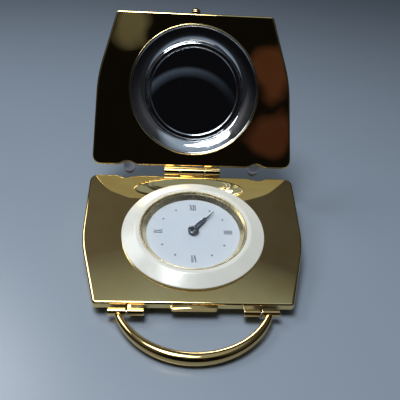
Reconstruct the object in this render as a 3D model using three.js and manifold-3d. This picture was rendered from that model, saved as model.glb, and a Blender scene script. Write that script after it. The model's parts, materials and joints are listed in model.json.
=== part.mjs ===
// Folding desk clock in the shape of a handbag. Two gilt half cases are hinged at the bag's
// bottom edge. The lower half lies on its back and holds a small quartz insert; the upper half
// stands open behind it and holds a round mirror. The bag's handle is pinned to the lower half.
// Millimetres, +Z up, the viewer stands at -Y.

import * as THREE from 'three';
import { mergeVertices } from 'three/addons/utils/BufferGeometryUtils.js';
import Module from 'manifold-3d';

const wasm = await Module();
wasm.setup();

// Fits
const SEAT_GAP = 0.03;            // between pieces that sit on or in each other
const RUN_GAP = 0.05;             // radial, between an arbor or pin and its bore
const PARTING_GAP = 0.3;          // between the two face plates when the bag is shut

// Case halves, measured from the bag's bottom edge towards its top edge
const CASE_LENGTH = 35.9;
const BOTTOM_WIDTH = 47.4;
const SHOULDER_WIDTH = 45.6;
const SHOULDER_AT = 20.8;
const SHOULDER_BLEND = 4;         // length of the rounded change of direction on each side of it
const TOP_WIDTH = 36.8;
const BOTTOM_CORNER = 2.2;
const TOP_CORNER = 0.6;
const BACK_SLOPE = 0.175;         // the flat back closes in towards the bag's top
const FLAT_BACK = 25;
const BACK_BEND = 4.4;            // from the top edge, where the back turns in to the thin lip
const DEPTH_TOP = 1.5;
const BACK_EDGE_ROUND = 2.4;
const STRAIGHT_WALL_SHARE = 0.55; // of the wall's height, the rest is its rounded turn
const BASE_WALL = 0.9;
const LID_WALL = 0.6;
const PLATE_THICKNESS = 1.2;
const PLATE_EDGE_ROUND = 0.45;
const CURVE_STEPS = 3;
const WALL_STEPS = 3;
const DISH_STEPS = 5;
const ROUND_SEGMENTS = 36;

// Hinge
const KNUCKLE_RADIUS = 1.15;
const HINGE_OFFSET = KNUCKLE_RADIUS + 0.19;  // hinge axis to the bottom edge of each half
const OPEN_ANGLE = 129.3;         // degrees between the two faces at the hinge stop
const BASE_KNUCKLE = 5.7;
const LID_KNUCKLE = 3.6;
const KNUCKLE_GAP = 0.12;
const LEAF_THICKNESS = 0.5;
const LEAF_DROP = 3.2;
const HINGE_PIN_RADIUS = 0.45;

// Feet on the bottom wall, each in its own shallow dent
const FOOT_SPACING = 30.8;
const FOOT_RADIUS = 1.45;
const FOOT_LENGTH = 2.8;
const FOOT_DEPTH = 5.5;           // below the face plate
const DENT_WIDTH = 5.6;
const DENT_DEPTH = 0.75;

// Handle
const HANDLE_SPAN = 27.8;         // between the middles of its two eyes
const HANDLE_REACH = 9.4;         // eyes' axis to the middle of the bow
const HANDLE_END_RADIUS = 0.62;
const HANDLE_MIDDLE_RADIUS = 1.15;
const EYE_RADIUS = 0.68;
const EYE_LENGTH = 3.3;
const LUG_LENGTH = 3.0;
const LUG_GAP = 0.25;
const LUG_REACH = 1.3;            // top edge to the eyes' axis
const LUG_DROP = 0.7;             // face plate to the eyes' axis
const LUG_TAB_HALF = 0.4;
const HANDLE_PIN_RADIUS = 0.3;

// Catch
const CATCH_WIDTH = 8.6;
const CATCH_REACH = 0.9;
const CATCH_CORNER = 0.5;
const CATCH_LOW = -1.1;
const CATCH_HIGH = -0.35;
const KNOB_RADIUS = 1.1;
const KNOB_REACH = 0.4;           // top edge to the knob's middle
const KNOB_DROP = 1.3;

// Clock insert, heights above the face plate
const DIAL_AT = 18.1;             // dial centre from the bottom edge
const BEZEL_EDGE_HEIGHT = 0.5;
const BEZEL_CREST_HEIGHT = 1.6;
const INSERT_RADIUS = 11.1;
const BEZEL_WIDTH = 3.7;
const BEZEL_RADIUS = INSERT_RADIUS + BEZEL_WIDTH;
const INSERT_DEPTH = 3.15;
const INSERT_CLEARANCE = 0.24;    // under the insert's front edge
const CUP_WALL = 0.3;
const CUP_FLOOR = 0.25;
const CUP_TOP = -0.53;
const CUP_EDGE_ROUND = 0.2;
const SURROUND_TOP = 1.66;
const SURROUND_RIM = 0.22;
const SURROUND_LIP = INSERT_RADIUS - 1.35;   // inner radius at the dial
const CRYSTAL_SEAT = 1.1;
const CRYSTAL_SEAT_WIDTH = 0.35;
const CRYSTAL_THICKNESS = 0.45;
const DIAL_TOP = 0.1;
const DIAL_THICKNESS = 0.25;
const DIAL_RADIUS = INSERT_RADIUS - 0.65;
const HOUR_HAND_LENGTH = 4.9;
const HOUR_HAND_HALF = 0.55;
const HOUR_HAND_LEVELS = [0.3, 0.46];
const HOUR_COLLET_RADIUS = 1.05;
const MINUTE_HAND_LENGTH = 7.1;
const MINUTE_HAND_HALF = 0.34;
const MINUTE_HAND_LEVELS = [0.64, 0.78];
const HOUR_ANGLE = 33.3;          // degrees clockwise from XII
const MINUTE_ANGLE = 39.6;
const HUB_RADIUS = 1.15;
const HUB_TOP = 1.02;
const HUB_BORE_TOP = 0.86;

// Quartz movement, heights below the face plate
const MOVEMENT_RADIUS = 9.05;
const HOLDER_WALL_GAP = 0.05;
const MAIN_PLATE_TOP = -0.75;
const MAIN_PLATE_BOTTOM = -1.35;
const MAIN_PLATE_RIM = 0.75;
const MOVEMENT_TOP = -0.2;
const BRIDGE_TOP = -2.4;
const BRIDGE_THICKNESS = 0.25;
const ARBOR_RADIUS = 0.25;
const ARBOR_TOP = 0.6;
const PIVOT_RADIUS = 0.1;
const PIVOT_TOP = -1.1;
const STUD_RADIUS = 0.2;
const CANNON_RADIUS = 0.45;
const CANNON_TOP = 0.83;
const HOUR_PIPE_RADIUS = 0.68;
const HOUR_PIPE_TOP = 0.5;
const TRAIN_ANGLE = 60;           // degrees, direction from the centre wheel to the rotor
const TRAIN_MODULE = 0.075;
const CENTRE_TEETH = 48;
const STEP_TEETH = 40;
const TRAIN_PINION_TEETH = 8;
const MOTION_ANGLE = -30;
const MOTION_MODULE = 0.12;
const CANNON_TEETH = 10;
const MINUTE_WHEEL_TEETH = 30;
const MINUTE_PINION_TEETH = 8;
const HOUR_WHEEL_TEETH = 32;
const CENTRE_WHEEL_LEVELS = [-1.95, -1.8];
const STEP_WHEEL_LEVELS = [-1.65, -1.5];
const STEP_PINION_LEVELS = [-2.05, -1.6];
const ROTOR_PINION_LEVELS = [-1.85, -1.45];
const MAGNET_LEVELS = [-2.3, -1.8];
const MOTION_WHEEL_LEVELS = [-0.7, -0.5];
const MINUTE_PINION_LEVELS = [-0.55, -0.26];
const HOUR_WHEEL_LEVELS = [-0.45, -0.28];
const ROTOR_RADIUS = 0.6;
const ROTOR_AIR_GAP = 0.2;
const STATOR_LEVELS = [-2.2, -1.85];
const STATOR_ENDS = [-4.4, 5.2];
const STATOR_LEG = 1;
const BATTERY_RADIUS = 3.4;
const BATTERY_HEIGHT = 2.1;
const BATTERY_PLACE = [-4.3, -3.35];
const BATTERY_LIFT = 0.12;        // over the cup's floor, for the strap under it
const STRAP_THICKNESS = 0.06;
const COIL_PLACE = [0.5, 6.3];
const COIL_RADIUS = 0.5;
const COIL_HALF_LENGTH = 3.2;
const COIL_HEIGHT = -2.38;
const COIL_CORE_HALF = [0.35, 0.14];
const BOARD_BOTTOM = -1.55;
const QUARTZ_RADIUS = 0.55;
const QUARTZ_LENGTH = 4.2;
const QUARTZ_PLACE = [2.9, -6.2];
const QUARTZ_ANGLE = 48;
const STEM_RADIUS = 0.22;
const STEM_HEIGHT = -1.05;
const STEM_PULL = 0.4;
const STEM_START = 4.6;
const STEM_NECK = 0.6;            // the neck's share of the stem's radius, in the crown's bore
const CLUTCH_RADIUS = 0.45;
const CLUTCH_SPAN = [5.1, 6];
const CLUTCH_WINDOW = [4.9, 6.7];
const CROWN_RADIUS = 0.5;
const SCREW_PLACES = [[0.9, -2.6], [3.6, 1.4]];
const SCREW_RADIUS = 0.2;
const SCREW_HEAD_THICKNESS = 0.15;
const POST_WALL = 0.25;

// Mirror set in the lid, heights above the lid's own face plate
const DISH_RADIUS = 15.05;
const DISH_LIP = 0.12;
const DISH_LIP_DROP = 0.05;
const DISH_WALL = 0.35;
const DISH_DEPTH = 2.25;
const DISH_FLOOR_RADIUS = DISH_RADIUS - 3.45;
const MIRROR_RADIUS = DISH_FLOOR_RADIUS - 1.3;
const MIRROR_THICKNESS = 0.22;
const MIRROR_RING_HEIGHT = 0.5;

// Mirror and dial share a centre when the bag is shut.
const MIRROR_AT = DIAL_AT;

// Face plate to back, at the bottom edge: deep enough for the insert in the sloping case.
const insertNeeds = INSERT_DEPTH + BASE_WALL + BACK_SLOPE * (DIAL_AT + INSERT_RADIUS);
const DEPTH_BOTTOM = insertNeeds + INSERT_CLEARANCE;

const radians = THREE.MathUtils.degToRad;

// ---- Solids ----------------------------------------------------------------------------

// Merges shared corners, drops slivers that have lost an edge, and faces the surface outwards.
function closed(geometry) {
  const bare = geometry.clone();
  for (const name of Object.keys(bare.attributes)) {
    if (name !== 'position') bare.deleteAttribute(name);
  }
  const merged = mergeVertices(bare, 1e-5);
  const index = merged.index.array;
  const at = merged.attributes.position;
  const corners = [new THREE.Vector3(), new THREE.Vector3(), new THREE.Vector3()];
  const kept = [];
  let volume = 0;
  for (let i = 0; i < index.length; i += 3) {
    const [a, b, c] = [index[i], index[i + 1], index[i + 2]];
    if (a === b || b === c || c === a) continue;
    kept.push(a, b, c);
    [a, b, c].forEach((vertex, k) => corners[k].fromBufferAttribute(at, vertex));
    volume += corners[0].dot(corners[1].clone().cross(corners[2]));
  }
  if (volume < 0) kept.reverse();
  merged.setIndex(kept);
  return merged;
}

function asManifold(geometry) {
  const shape = closed(geometry);
  return new wasm.Manifold(new wasm.Mesh({
    numProp: 3,
    vertProperties: new Float32Array(shape.attributes.position.array),
    triVerts: new Uint32Array(shape.index.array),
  }));
}

function asGeometry(manifold) {
  const mesh = manifold.getMesh();
  const geometry = new THREE.BufferGeometry();
  geometry.setAttribute('position', new THREE.BufferAttribute(mesh.vertProperties, 3));
  geometry.setIndex([...mesh.triVerts]);
  return geometry;
}

function combine(operation, first, others) {
  let result = asManifold(first);
  for (const other of others) result = result[operation](asManifold(other));
  return asGeometry(result);
}

const join = (first, ...others) => combine('add', first, others);
const cut = (first, ...tools) => combine('subtract', first, tools);
const common = (first, ...others) => combine('intersect', first, others);

// Turned about Z from [radius, height] pairs, a ring if the profile keeps off the axis.
function turned(profile, segments = ROUND_SEGMENTS) {
  const points = profile.map(([r, z]) => new THREE.Vector2(r, z));
  const onAxis = profile[0][0] === 0 && profile[profile.length - 1][0] === 0;
  if (!onAxis) points.push(points[0].clone());
  return closed(new THREE.LatheGeometry(points, segments).rotateX(Math.PI / 2));
}

function disc(radius, bottom, top, segments = ROUND_SEGMENTS) {
  return turned([[0, bottom], [radius, bottom], [radius, top], [0, top]], segments);
}

function rod(radius, from, to, segments = 16) {
  return disc(radius, from, to, segments).rotateY(Math.PI / 2);
}

function block(x0, x1, y0, y1, z0, z1) {
  const box = new THREE.BoxGeometry(x1 - x0, y1 - y0, z1 - z0);
  return box.translate((x0 + x1) / 2, (y0 + y1) / 2, (z0 + z1) / 2);
}

function slab(points, bottom, top) {
  const shape = new THREE.Shape(points.map(([x, y]) => new THREE.Vector2(x, y)));
  const geometry = new THREE.ExtrudeGeometry(shape, { depth: top - bottom, bevelEnabled: false });
  return geometry.translate(0, 0, bottom);
}

// A skin over rings with equal point counts, from the first ring to the last, with flat ends.
function loft(rings) {
  const count = rings[0].length;
  const index = [];
  for (let r = 0; r + 1 < rings.length; r += 1) {
    for (let i = 0; i < count; i += 1) {
      const [a, b] = [r * count + i, r * count + (i + 1) % count];
      index.push(a, b, b + count, a, b + count, a + count);
    }
  }
  const last = (rings.length - 1) * count;
  for (const [a, b, c] of capFaces(rings[0])) index.push(a, c, b);
  for (const [a, b, c] of capFaces(rings[rings.length - 1])) {
    index.push(last + a, last + b, last + c);
  }
  const geometry = new THREE.BufferGeometry().setFromPoints(rings.flat());
  geometry.setIndex(index);
  return closed(geometry);
}

// Triangles that fill one ring, turning the same way round as the ring itself.
function capFaces(ring) {
  const middle = ring.reduce((sum, p) => sum.add(p), new THREE.Vector3()).divideScalar(ring.length);
  const normal = new THREE.Vector3();
  ring.forEach((p, i) => {
    const next = ring[(i + 1) % ring.length];
    normal.add(p.clone().sub(middle).cross(next.clone().sub(middle)));
  });
  const upright = new THREE.Vector3(0, 0, 1);
  const turn = new THREE.Quaternion().setFromUnitVectors(normal.normalize(), upright);
  const flat = ring.map((p) => {
    const q = p.clone().sub(middle).applyQuaternion(turn);
    return new THREE.Vector2(q.x, q.y);
  });
  return THREE.ShapeUtils.triangulateShape(flat, []).map(([a, b, c]) => {
    const area = flat[b].clone().sub(flat[a]).cross(flat[c].clone().sub(flat[a]));
    return area > 0 ? [a, b, c] : [a, c, b];
  });
}

// A gear blank with pointed teeth; one tooth points along the angle `phase`, in radians.
function gear(teeth, module, phase, [bottom, top]) {
  const tip = module * (teeth / 2 + 0.9);
  const root = module * (teeth / 2 - 1.15);
  const pitch = (2 * Math.PI) / teeth;
  const rootShare = 0.33;
  const points = [];
  for (let i = 0; i < teeth; i += 1) {
    const middle = phase + i * pitch;
    for (const [share, radius] of [[-rootShare, root], [0, tip], [rootShare, root]]) {
      const angle = middle + share * pitch;
      points.push([radius * Math.cos(angle), radius * Math.sin(angle)]);
    }
  }
  return slab(points, bottom, top);
}

// ---- Case halves -----------------------------------------------------------------------

// Depth of the back below the face plate at a distance from the bottom edge.
function backProfile(wall) {
  const bend = CASE_LENGTH - BACK_BEND;
  const path = new THREE.Path();
  path.moveTo(-1, DEPTH_BOTTOM + BACK_SLOPE - wall);
  path.lineTo(FLAT_BACK, DEPTH_BOTTOM - BACK_SLOPE * FLAT_BACK - wall);
  const bendDepth = DEPTH_BOTTOM - BACK_SLOPE * bend - wall;
  path.quadraticCurveTo(bend, bendDepth, CASE_LENGTH, DEPTH_TOP - wall);
  return path.getPoints(CURVE_STEPS + 1);
}

function backDepth(along, wall) {
  const points = backProfile(wall);
  let end = 1;
  while (end < points.length - 1 && points[end].x <= along) end += 1;
  const [a, b] = [points[end - 1], points[end]];
  return a.y + ((b.y - a.y) * (along - a.x)) / (b.x - a.x);
}

// The half's outline, counter-clockwise, with the bottom edge at y = 0 and the top edge above.
function outline(inset, bottomInset, dent) {
  const corner = Math.max(BOTTOM_CORNER - inset, 0.5);
  const tip = Math.max(TOP_CORNER - inset, 0.15);
  const top = CASE_LENGTH - inset;
  const foot = new THREE.Vector2(BOTTOM_WIDTH / 2 - inset, bottomInset + corner);
  const knee = new THREE.Vector2(SHOULDER_WIDTH / 2 - inset, SHOULDER_AT);
  const head = new THREE.Vector2(TOP_WIDTH / 2 - inset, top);
  const below = knee.clone().sub(foot).setLength(SHOULDER_BLEND);
  const above = head.clone().sub(knee).normalize();
  const middle = FOOT_SPACING / 2;
  const near = middle - DENT_WIDTH / 2;
  const far = middle + DENT_WIDTH / 2;
  const ease = DENT_WIDTH / 4;
  const dented = bottomInset + dent;
  const path = new THREE.Path();
  path.moveTo(0, bottomInset);
  path.lineTo(near, bottomInset);
  path.bezierCurveTo(near + ease, bottomInset, middle - ease, dented, middle, dented);
  path.bezierCurveTo(middle + ease, dented, far - ease, bottomInset, far, bottomInset);
  path.lineTo(foot.x - corner, bottomInset);
  path.quadraticCurveTo(foot.x, bottomInset, foot.x, foot.y);
  path.lineTo(knee.x - below.x, knee.y - below.y);
  const over = above.clone().multiplyScalar(SHOULDER_BLEND).add(knee);
  path.quadraticCurveTo(knee.x, knee.y, over.x, over.y);
  path.lineTo(head.x - above.x * tip, head.y - above.y * tip);
  path.quadraticCurveTo(head.x, head.y, head.x - tip, top);
  path.lineTo(0, top);
  const right = path.getPoints(CURVE_STEPS);
  const left = right.slice(1, -1).reverse().map((p) => new THREE.Vector2(-p.x, p.y));
  return [...right, ...left];
}

// One level of a half case: the outline at a depth that may vary along the bag.
function level(points, depthAt) {
  return points.map((p) => new THREE.Vector3(p.x, -HINGE_OFFSET - p.y, -depthAt(p.y)));
}

// A pan with upright sides that turn in to the slanted back, from depth `top` downwards.
function pan(top, inset, bottomInset, dent, wall) {
  const rings = [level(outline(inset, bottomInset, dent), () => top)];
  const turnIn = Math.max(BACK_EDGE_ROUND - inset, 0.5);
  for (let i = 0; i <= WALL_STEPS; i += 1) {
    const angle = (i / WALL_STEPS) * (Math.PI / 2);
    const step = turnIn * (1 - Math.cos(angle));
    const share = STRAIGHT_WALL_SHARE + (1 - STRAIGHT_WALL_SHARE) * Math.sin(angle);
    const points = outline(inset + step, bottomInset + step, dent);
    rings.push(level(points, (along) => top + (backDepth(along, wall) - top) * share));
  }
  const deepest = DEPTH_BOTTOM + 1;
  rings.push(level(outline(inset + turnIn + 0.1, bottomInset + turnIn + 0.1, dent), () => deepest));
  return common(loft(rings), sideProfile(top, wall));
}

// The half case seen from the side, from depth `top` to the back, wider than the case.
function sideProfile(top, wall) {
  const points = backProfile(wall).map((p) => [-HINGE_OFFSET - p.x, -p.y]);
  const first = points[0];
  points.unshift([first[0], -top + 1]);
  points.push([-HINGE_OFFSET - CASE_LENGTH - 1, points[points.length - 1][1]]);
  points.push([-HINGE_OFFSET - CASE_LENGTH - 1, -top + 1]);
  const side = slab(points, -BOTTOM_WIDTH, BOTTOM_WIDTH);
  // The profile's first axis becomes Y and its second becomes Z.
  side.rotateX(Math.PI / 2).rotateZ(Math.PI / 2);
  return side;
}

function footSeat(side, radius, length) {
  const y = -(HINGE_OFFSET + DENT_DEPTH);
  return disc(radius, 0, length, 20).rotateX(-Math.PI / 2)
    .translate((side * FOOT_SPACING) / 2, y, -FOOT_DEPTH);
}

function caseShell(wall) {
  const top = PLATE_THICKNESS + SEAT_GAP;
  const outer = pan(top, 0, 0, DENT_DEPTH, 0);
  const cavity = pan(top - 0.5, wall, wall + DENT_DEPTH, 0, wall);
  const seats = [-1, 1].map((side) => footSeat(side, FOOT_RADIUS + SEAT_GAP, FOOT_LENGTH));
  return cut(outer, cavity, ...seats);
}

function facePlate(hole, rimBevel) {
  const edge = PLATE_EDGE_ROUND;
  const softer = edge * 0.3;
  const flat = (inset, depth) => level(outline(inset, inset, DENT_DEPTH), () => depth);
  const body = loft([flat(edge, 0), flat(softer, softer), flat(0, edge), flat(0, PLATE_THICKNESS)]);
  const opening = turned([
    [0, -PLATE_THICKNESS - 1],
    [hole, -PLATE_THICKNESS - 1],
    [hole, -rimBevel],
    [hole + rimBevel + 1, 1],
    [0, 1],
  ]).translate(0, -HINGE_OFFSET - DIAL_AT, 0);
  return cut(body, opening);
}

// ---- Hinge, feet, catch ----------------------------------------------------------------

// A knuckle on the hinge axis with a leaf that runs down the bottom wall of its half.
function hingeLeaf(from, to, bore) {
  const knuckle = rod(KNUCKLE_RADIUS, from, to, 24);
  const outerFace = -(HINGE_OFFSET - SEAT_GAP);
  const leaf = block(from, to, outerFace, outerFace + LEAF_THICKNESS, -LEAF_DROP, 0);
  return cut(join(knuckle, leaf), rod(bore, from - 1, to + 1, 16));
}

function foot() {
  const r = FOOT_RADIUS;
  const base = SEAT_GAP;
  return turned([
    [0, base],
    [r, base],
    [r, FOOT_LENGTH * 0.45],
    [r * 0.9, FOOT_LENGTH * 0.7],
    [r * 0.6, FOOT_LENGTH * 0.92],
    [0, FOOT_LENGTH],
  ], 20).rotateX(-Math.PI / 2);
}

// A round knob cut flat where it is soldered to the lid's top edge.
function clasp() {
  const r = KNOB_RADIUS;
  const knob = new THREE.SphereGeometry(r, 16, 10).translate(0, -KNOB_REACH, 0);
  return common(knob, block(-r, r, -KNOB_REACH - r, -SEAT_GAP, -r, r));
}

function catchTab() {
  const half = CATCH_WIDTH / 2;
  const corner = CATCH_CORNER;
  const inner = SEAT_GAP;
  const points = [
    [-half, inner],
    [half, inner],
    [half, CATCH_REACH - corner],
    [half - corner, CATCH_REACH],
    [corner - half, CATCH_REACH],
    [-half, CATCH_REACH - corner],
  ].map(([x, y]) => [x, -y]);
  return slab(points, CATCH_LOW, CATCH_HIGH);
}

// ---- Handle ----------------------------------------------------------------------------

const eyeMiddle = HANDLE_SPAN / 2;
const lugOuter = eyeMiddle - EYE_LENGTH / 2 - LUG_GAP;

// Bow and eyes in the plane of the handle: the eyes' axis is X, the bow reaches towards -Y.
function handleBail() {
  const radius = (eyeMiddle * eyeMiddle + HANDLE_REACH * HANDLE_REACH) / (2 * HANDLE_REACH);
  const sweep = Math.asin(Math.min(1, eyeMiddle / radius));
  const centre = radius - HANDLE_REACH;
  const steps = 16;
  const sides = 8;
  const rings = [];
  for (let i = 0; i <= steps; i += 1) {
    const share = (2 * i) / steps - 1;
    const angle = share * sweep;
    const swell = Math.cos((share * Math.PI) / 2);
    const thick = HANDLE_END_RADIUS + (HANDLE_MIDDLE_RADIUS - HANDLE_END_RADIUS) * swell;
    const ring = [];
    for (let k = 0; k < sides; k += 1) {
      const around = (2 * Math.PI * k) / sides;
      const out = radius + thick * Math.cos(around);
      const height = thick * Math.sin(around);
      ring.push(new THREE.Vector3(out * Math.sin(angle), centre - out * Math.cos(angle), height));
    }
    rings.push(ring);
  }
  const eyes = [-1, 1].map((side) =>
    rod(EYE_RADIUS, side * eyeMiddle - EYE_LENGTH / 2, side * eyeMiddle + EYE_LENGTH / 2));
  const bore = rod(HANDLE_PIN_RADIUS + RUN_GAP, -HANDLE_SPAN, HANDLE_SPAN, 12);
  return cut(join(loft(rings), ...eyes), bore);
}

function handleLug() {
  const inner = lugOuter - LUG_LENGTH;
  const barrel = rod(EYE_RADIUS, inner, lugOuter);
  const tab = block(inner, lugOuter, 0, LUG_REACH - SEAT_GAP, -LUG_TAB_HALF, LUG_TAB_HALF);
  return cut(join(barrel, tab), rod(HANDLE_PIN_RADIUS + SEAT_GAP, inner - 1, lugOuter + 1, 12));
}

function handlePin() {
  return rod(HANDLE_PIN_RADIUS, lugOuter - LUG_LENGTH, eyeMiddle + EYE_LENGTH / 2, 12);
}

// ---- Clock insert ----------------------------------------------------------------------

const holderRadius = INSERT_RADIUS - CUP_WALL - HOLDER_WALL_GAP;
const cupFloorTop = -INSERT_DEPTH + CUP_FLOOR;
const centreDistance = (TRAIN_MODULE * (CENTRE_TEETH + TRAIN_PINION_TEETH)) / 2;
const rotorDistance = (TRAIN_MODULE * (STEP_TEETH + TRAIN_PINION_TEETH)) / 2;
const motionDistance = (MOTION_MODULE * (CANNON_TEETH + MINUTE_WHEEL_TEETH)) / 2;
const hourModule = (2 * motionDistance) / (MINUTE_PINION_TEETH + HOUR_WHEEL_TEETH);
const trainTurn = radians(TRAIN_ANGLE);
const motionTurn = radians(MOTION_ANGLE);
const stepPlace = [centreDistance * Math.cos(trainTurn), centreDistance * Math.sin(trainTurn)];
const rotorPlace = [
  stepPlace[0] + rotorDistance * Math.cos(trainTurn),
  stepPlace[1] + rotorDistance * Math.sin(trainTurn),
];
const motionPlace = [motionDistance * Math.cos(motionTurn), motionDistance * Math.sin(motionTurn)];

const gapPhase = (turn, teeth) => turn + Math.PI + Math.PI / teeth;

function bezelRing() {
  const inner = INSERT_RADIUS + SEAT_GAP;
  const width = BEZEL_RADIUS - inner;
  return turned([
    [inner, SEAT_GAP],
    [BEZEL_RADIUS, SEAT_GAP],
    [BEZEL_RADIUS, BEZEL_EDGE_HEIGHT * 0.6],
    [BEZEL_RADIUS - 0.25, BEZEL_EDGE_HEIGHT],
    [inner + width * 0.55, (BEZEL_EDGE_HEIGHT + BEZEL_CREST_HEIGHT) * 0.56],
    [inner + width * 0.12, BEZEL_CREST_HEIGHT],
    [inner, BEZEL_CREST_HEIGHT],
  ]);
}

function dialSurround() {
  const seat = INSERT_RADIUS - SURROUND_RIM;
  return turned([
    [INSERT_RADIUS, CUP_TOP + SEAT_GAP],
    [INSERT_RADIUS, SURROUND_TOP],
    [seat, SURROUND_TOP],
    [seat, CRYSTAL_SEAT],
    [seat - CRYSTAL_SEAT_WIDTH, CRYSTAL_SEAT],
    [SURROUND_LIP, DIAL_TOP + 2 * SEAT_GAP],
    [SURROUND_LIP, DIAL_TOP + SEAT_GAP],
    [DIAL_RADIUS + SEAT_GAP, DIAL_TOP + SEAT_GAP],
    [DIAL_RADIUS + SEAT_GAP, CUP_TOP + SEAT_GAP],
  ]);
}

function crystal() {
  const bottom = CRYSTAL_SEAT + SEAT_GAP;
  return disc(INSERT_RADIUS - SURROUND_RIM - SEAT_GAP, bottom, bottom + CRYSTAL_THICKNESS);
}

function dial() {
  const bottom = DIAL_TOP - DIAL_THICKNESS;
  const hole = HOUR_PIPE_RADIUS + RUN_GAP;
  return turned([[hole, bottom], [DIAL_RADIUS, bottom], [DIAL_RADIUS, DIAL_TOP], [hole, DIAL_TOP]]);
}

function insertCup() {
  const inner = INSERT_RADIUS - CUP_WALL;
  return turned([
    [0, -INSERT_DEPTH],
    [INSERT_RADIUS - CUP_EDGE_ROUND, -INSERT_DEPTH],
    [INSERT_RADIUS, -INSERT_DEPTH + CUP_EDGE_ROUND],
    [INSERT_RADIUS, CUP_TOP],
    [inner, CUP_TOP],
    [inner, cupFloorTop],
    [0, cupFloorTop],
  ]);
}

function movementHolder() {
  const inner = MOVEMENT_RADIUS + SEAT_GAP;
  const bottom = cupFloorTop + SEAT_GAP;
  const ring = turned([
    [inner, bottom],
    [holderRadius, bottom],
    [holderRadius, CUP_TOP],
    [DIAL_RADIUS, CUP_TOP],
    [DIAL_RADIUS, MOVEMENT_TOP],
    [inner, MOVEMENT_TOP],
  ]);
  const half = CROWN_RADIUS + 0.2;
  return cut(ring, block(inner - 1, holderRadius + 1, -half, half, STEM_HEIGHT - half, 1));
}

function mainPlate() {
  const rim = MOVEMENT_RADIUS - MAIN_PLATE_RIM;
  const blank = turned([
    [0, MAIN_PLATE_BOTTOM],
    [MOVEMENT_RADIUS, MAIN_PLATE_BOTTOM],
    [MOVEMENT_RADIUS, MOVEMENT_TOP],
    [rim, MOVEMENT_TOP],
    [rim, MAIN_PLATE_TOP],
    [0, MAIN_PLATE_TOP],
  ]);
  const posts = SCREW_PLACES.map((place) =>
    disc(SCREW_RADIUS + POST_WALL, BRIDGE_TOP + SEAT_GAP, MAIN_PLATE_BOTTOM + 0.1, 16)
      .translate(...place, 0));
  const screwBores = SCREW_PLACES.map((place) =>
    disc(SCREW_RADIUS + SEAT_GAP, -INSERT_DEPTH, MAIN_PLATE_BOTTOM - 0.15, 12)
      .translate(...place, 0));
  const stud = disc(STUD_RADIUS, MAIN_PLATE_TOP - 0.1, MOVEMENT_TOP - 0.05, 12)
    .translate(...motionPlace, 0);
  const through = (radius, place, segments = 16) =>
    disc(radius, -INSERT_DEPTH, 1, segments).translate(...place, 0);
  const windowHalf = CLUTCH_RADIUS + 0.15;
  const window = block(...CLUTCH_WINDOW, -windowHalf, windowHalf, -INSERT_DEPTH, 1);
  const stemBore = rod(STEM_RADIUS + RUN_GAP, STEM_START - 0.2, MOVEMENT_RADIUS + 1, 12)
    .translate(0, 0, STEM_HEIGHT);
  return cut(
    join(blank, ...posts, stud),
    through(ARBOR_RADIUS + RUN_GAP, [0, 0]),
    through(PIVOT_RADIUS + RUN_GAP, stepPlace),
    through(PIVOT_RADIUS + RUN_GAP, rotorPlace),
    through(BATTERY_RADIUS + RUN_GAP, BATTERY_PLACE, 40),
    ...screwBores,
    window,
    stemBore,
  );
}

// A strip that widens round its two screws and ends past the rotor's pivot.
function trainBridge() {
  const [low, high] = SCREW_PLACES;
  const points = [
    [-0.9, -0.6],
    [low[0] - 0.6, low[1] - 0.6],
    [low[0] + 0.6, low[1] - 0.6],
    [high[0] + 0.7, high[1] - 0.4],
    [high[0] + 0.7, high[1] + 0.6],
    [rotorPlace[0] + 0.7, rotorPlace[1] + 0.7],
    [rotorPlace[0] - 0.6, rotorPlace[1] + 0.7],
    [-0.9, 0.6],
  ];
  const bore = (radius, place) => disc(radius, -INSERT_DEPTH, 0, 12).translate(...place, 0);
  return cut(
    slab(points, BRIDGE_TOP - BRIDGE_THICKNESS, BRIDGE_TOP),
    ...[[0, 0], stepPlace, rotorPlace].map((place) => bore(PIVOT_RADIUS + RUN_GAP, place)),
    ...SCREW_PLACES.map((place) => bore(SCREW_RADIUS + SEAT_GAP, place)),
  );
}

function bridgeScrew() {
  const seat = BRIDGE_TOP - BRIDGE_THICKNESS - SEAT_GAP;
  const head = SCREW_RADIUS * 2;
  return turned([
    [0, seat - SCREW_HEAD_THICKNESS],
    [head, seat - SCREW_HEAD_THICKNESS],
    [head, seat],
    [SCREW_RADIUS, seat],
    [SCREW_RADIUS, MAIN_PLATE_BOTTOM - 0.25],
    [0, MAIN_PLATE_BOTTOM - 0.25],
  ], 16);
}

function stator() {
  const [x, y] = rotorPlace;
  const [left, right] = STATOR_ENDS;
  const nearEdge = y - 1.05;
  const farEdge = y + 1.1;
  const legTop = COIL_PLACE[1] + 0.4;
  const points = [
    [left, nearEdge],
    [right, nearEdge],
    [right, legTop],
    [right - STATOR_LEG, legTop],
    [right - STATOR_LEG, farEdge],
    [left + STATOR_LEG, farEdge],
    [left + STATOR_LEG, legTop],
    [left, legTop],
  ];
  const hole = disc(ROTOR_RADIUS + ROTOR_AIR_GAP, -INSERT_DEPTH, 0, 20).translate(x, y, 0);
  return cut(slab(points, ...STATOR_LEVELS), hole);
}

function coil() {
  const [x, y] = COIL_PLACE;
  const [left, right] = STATOR_ENDS;
  const [halfWidth, halfHeight] = COIL_CORE_HALF;
  const core = block(
    left + 0.05, right - 0.05,
    y - halfWidth, y + halfWidth,
    COIL_HEIGHT - halfHeight, COIL_HEIGHT + halfHeight,
  );
  const winding = rod(COIL_RADIUS, x - COIL_HALF_LENGTH, x + COIL_HALF_LENGTH, 20);
  return join(core, winding.translate(0, y, COIL_HEIGHT));
}

// Cut to fit between the battery, the stem and the plate's rim.
function circuitBoard() {
  const points = [[1.9, -7.9], [4.5, -6.9], [7.4, -3.6], [7.9, -1.2], [4.9, -1.2], [1.9, -4]];
  return slab(points, BOARD_BOTTOM, MAIN_PLATE_BOTTOM - SEAT_GAP);
}

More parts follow.
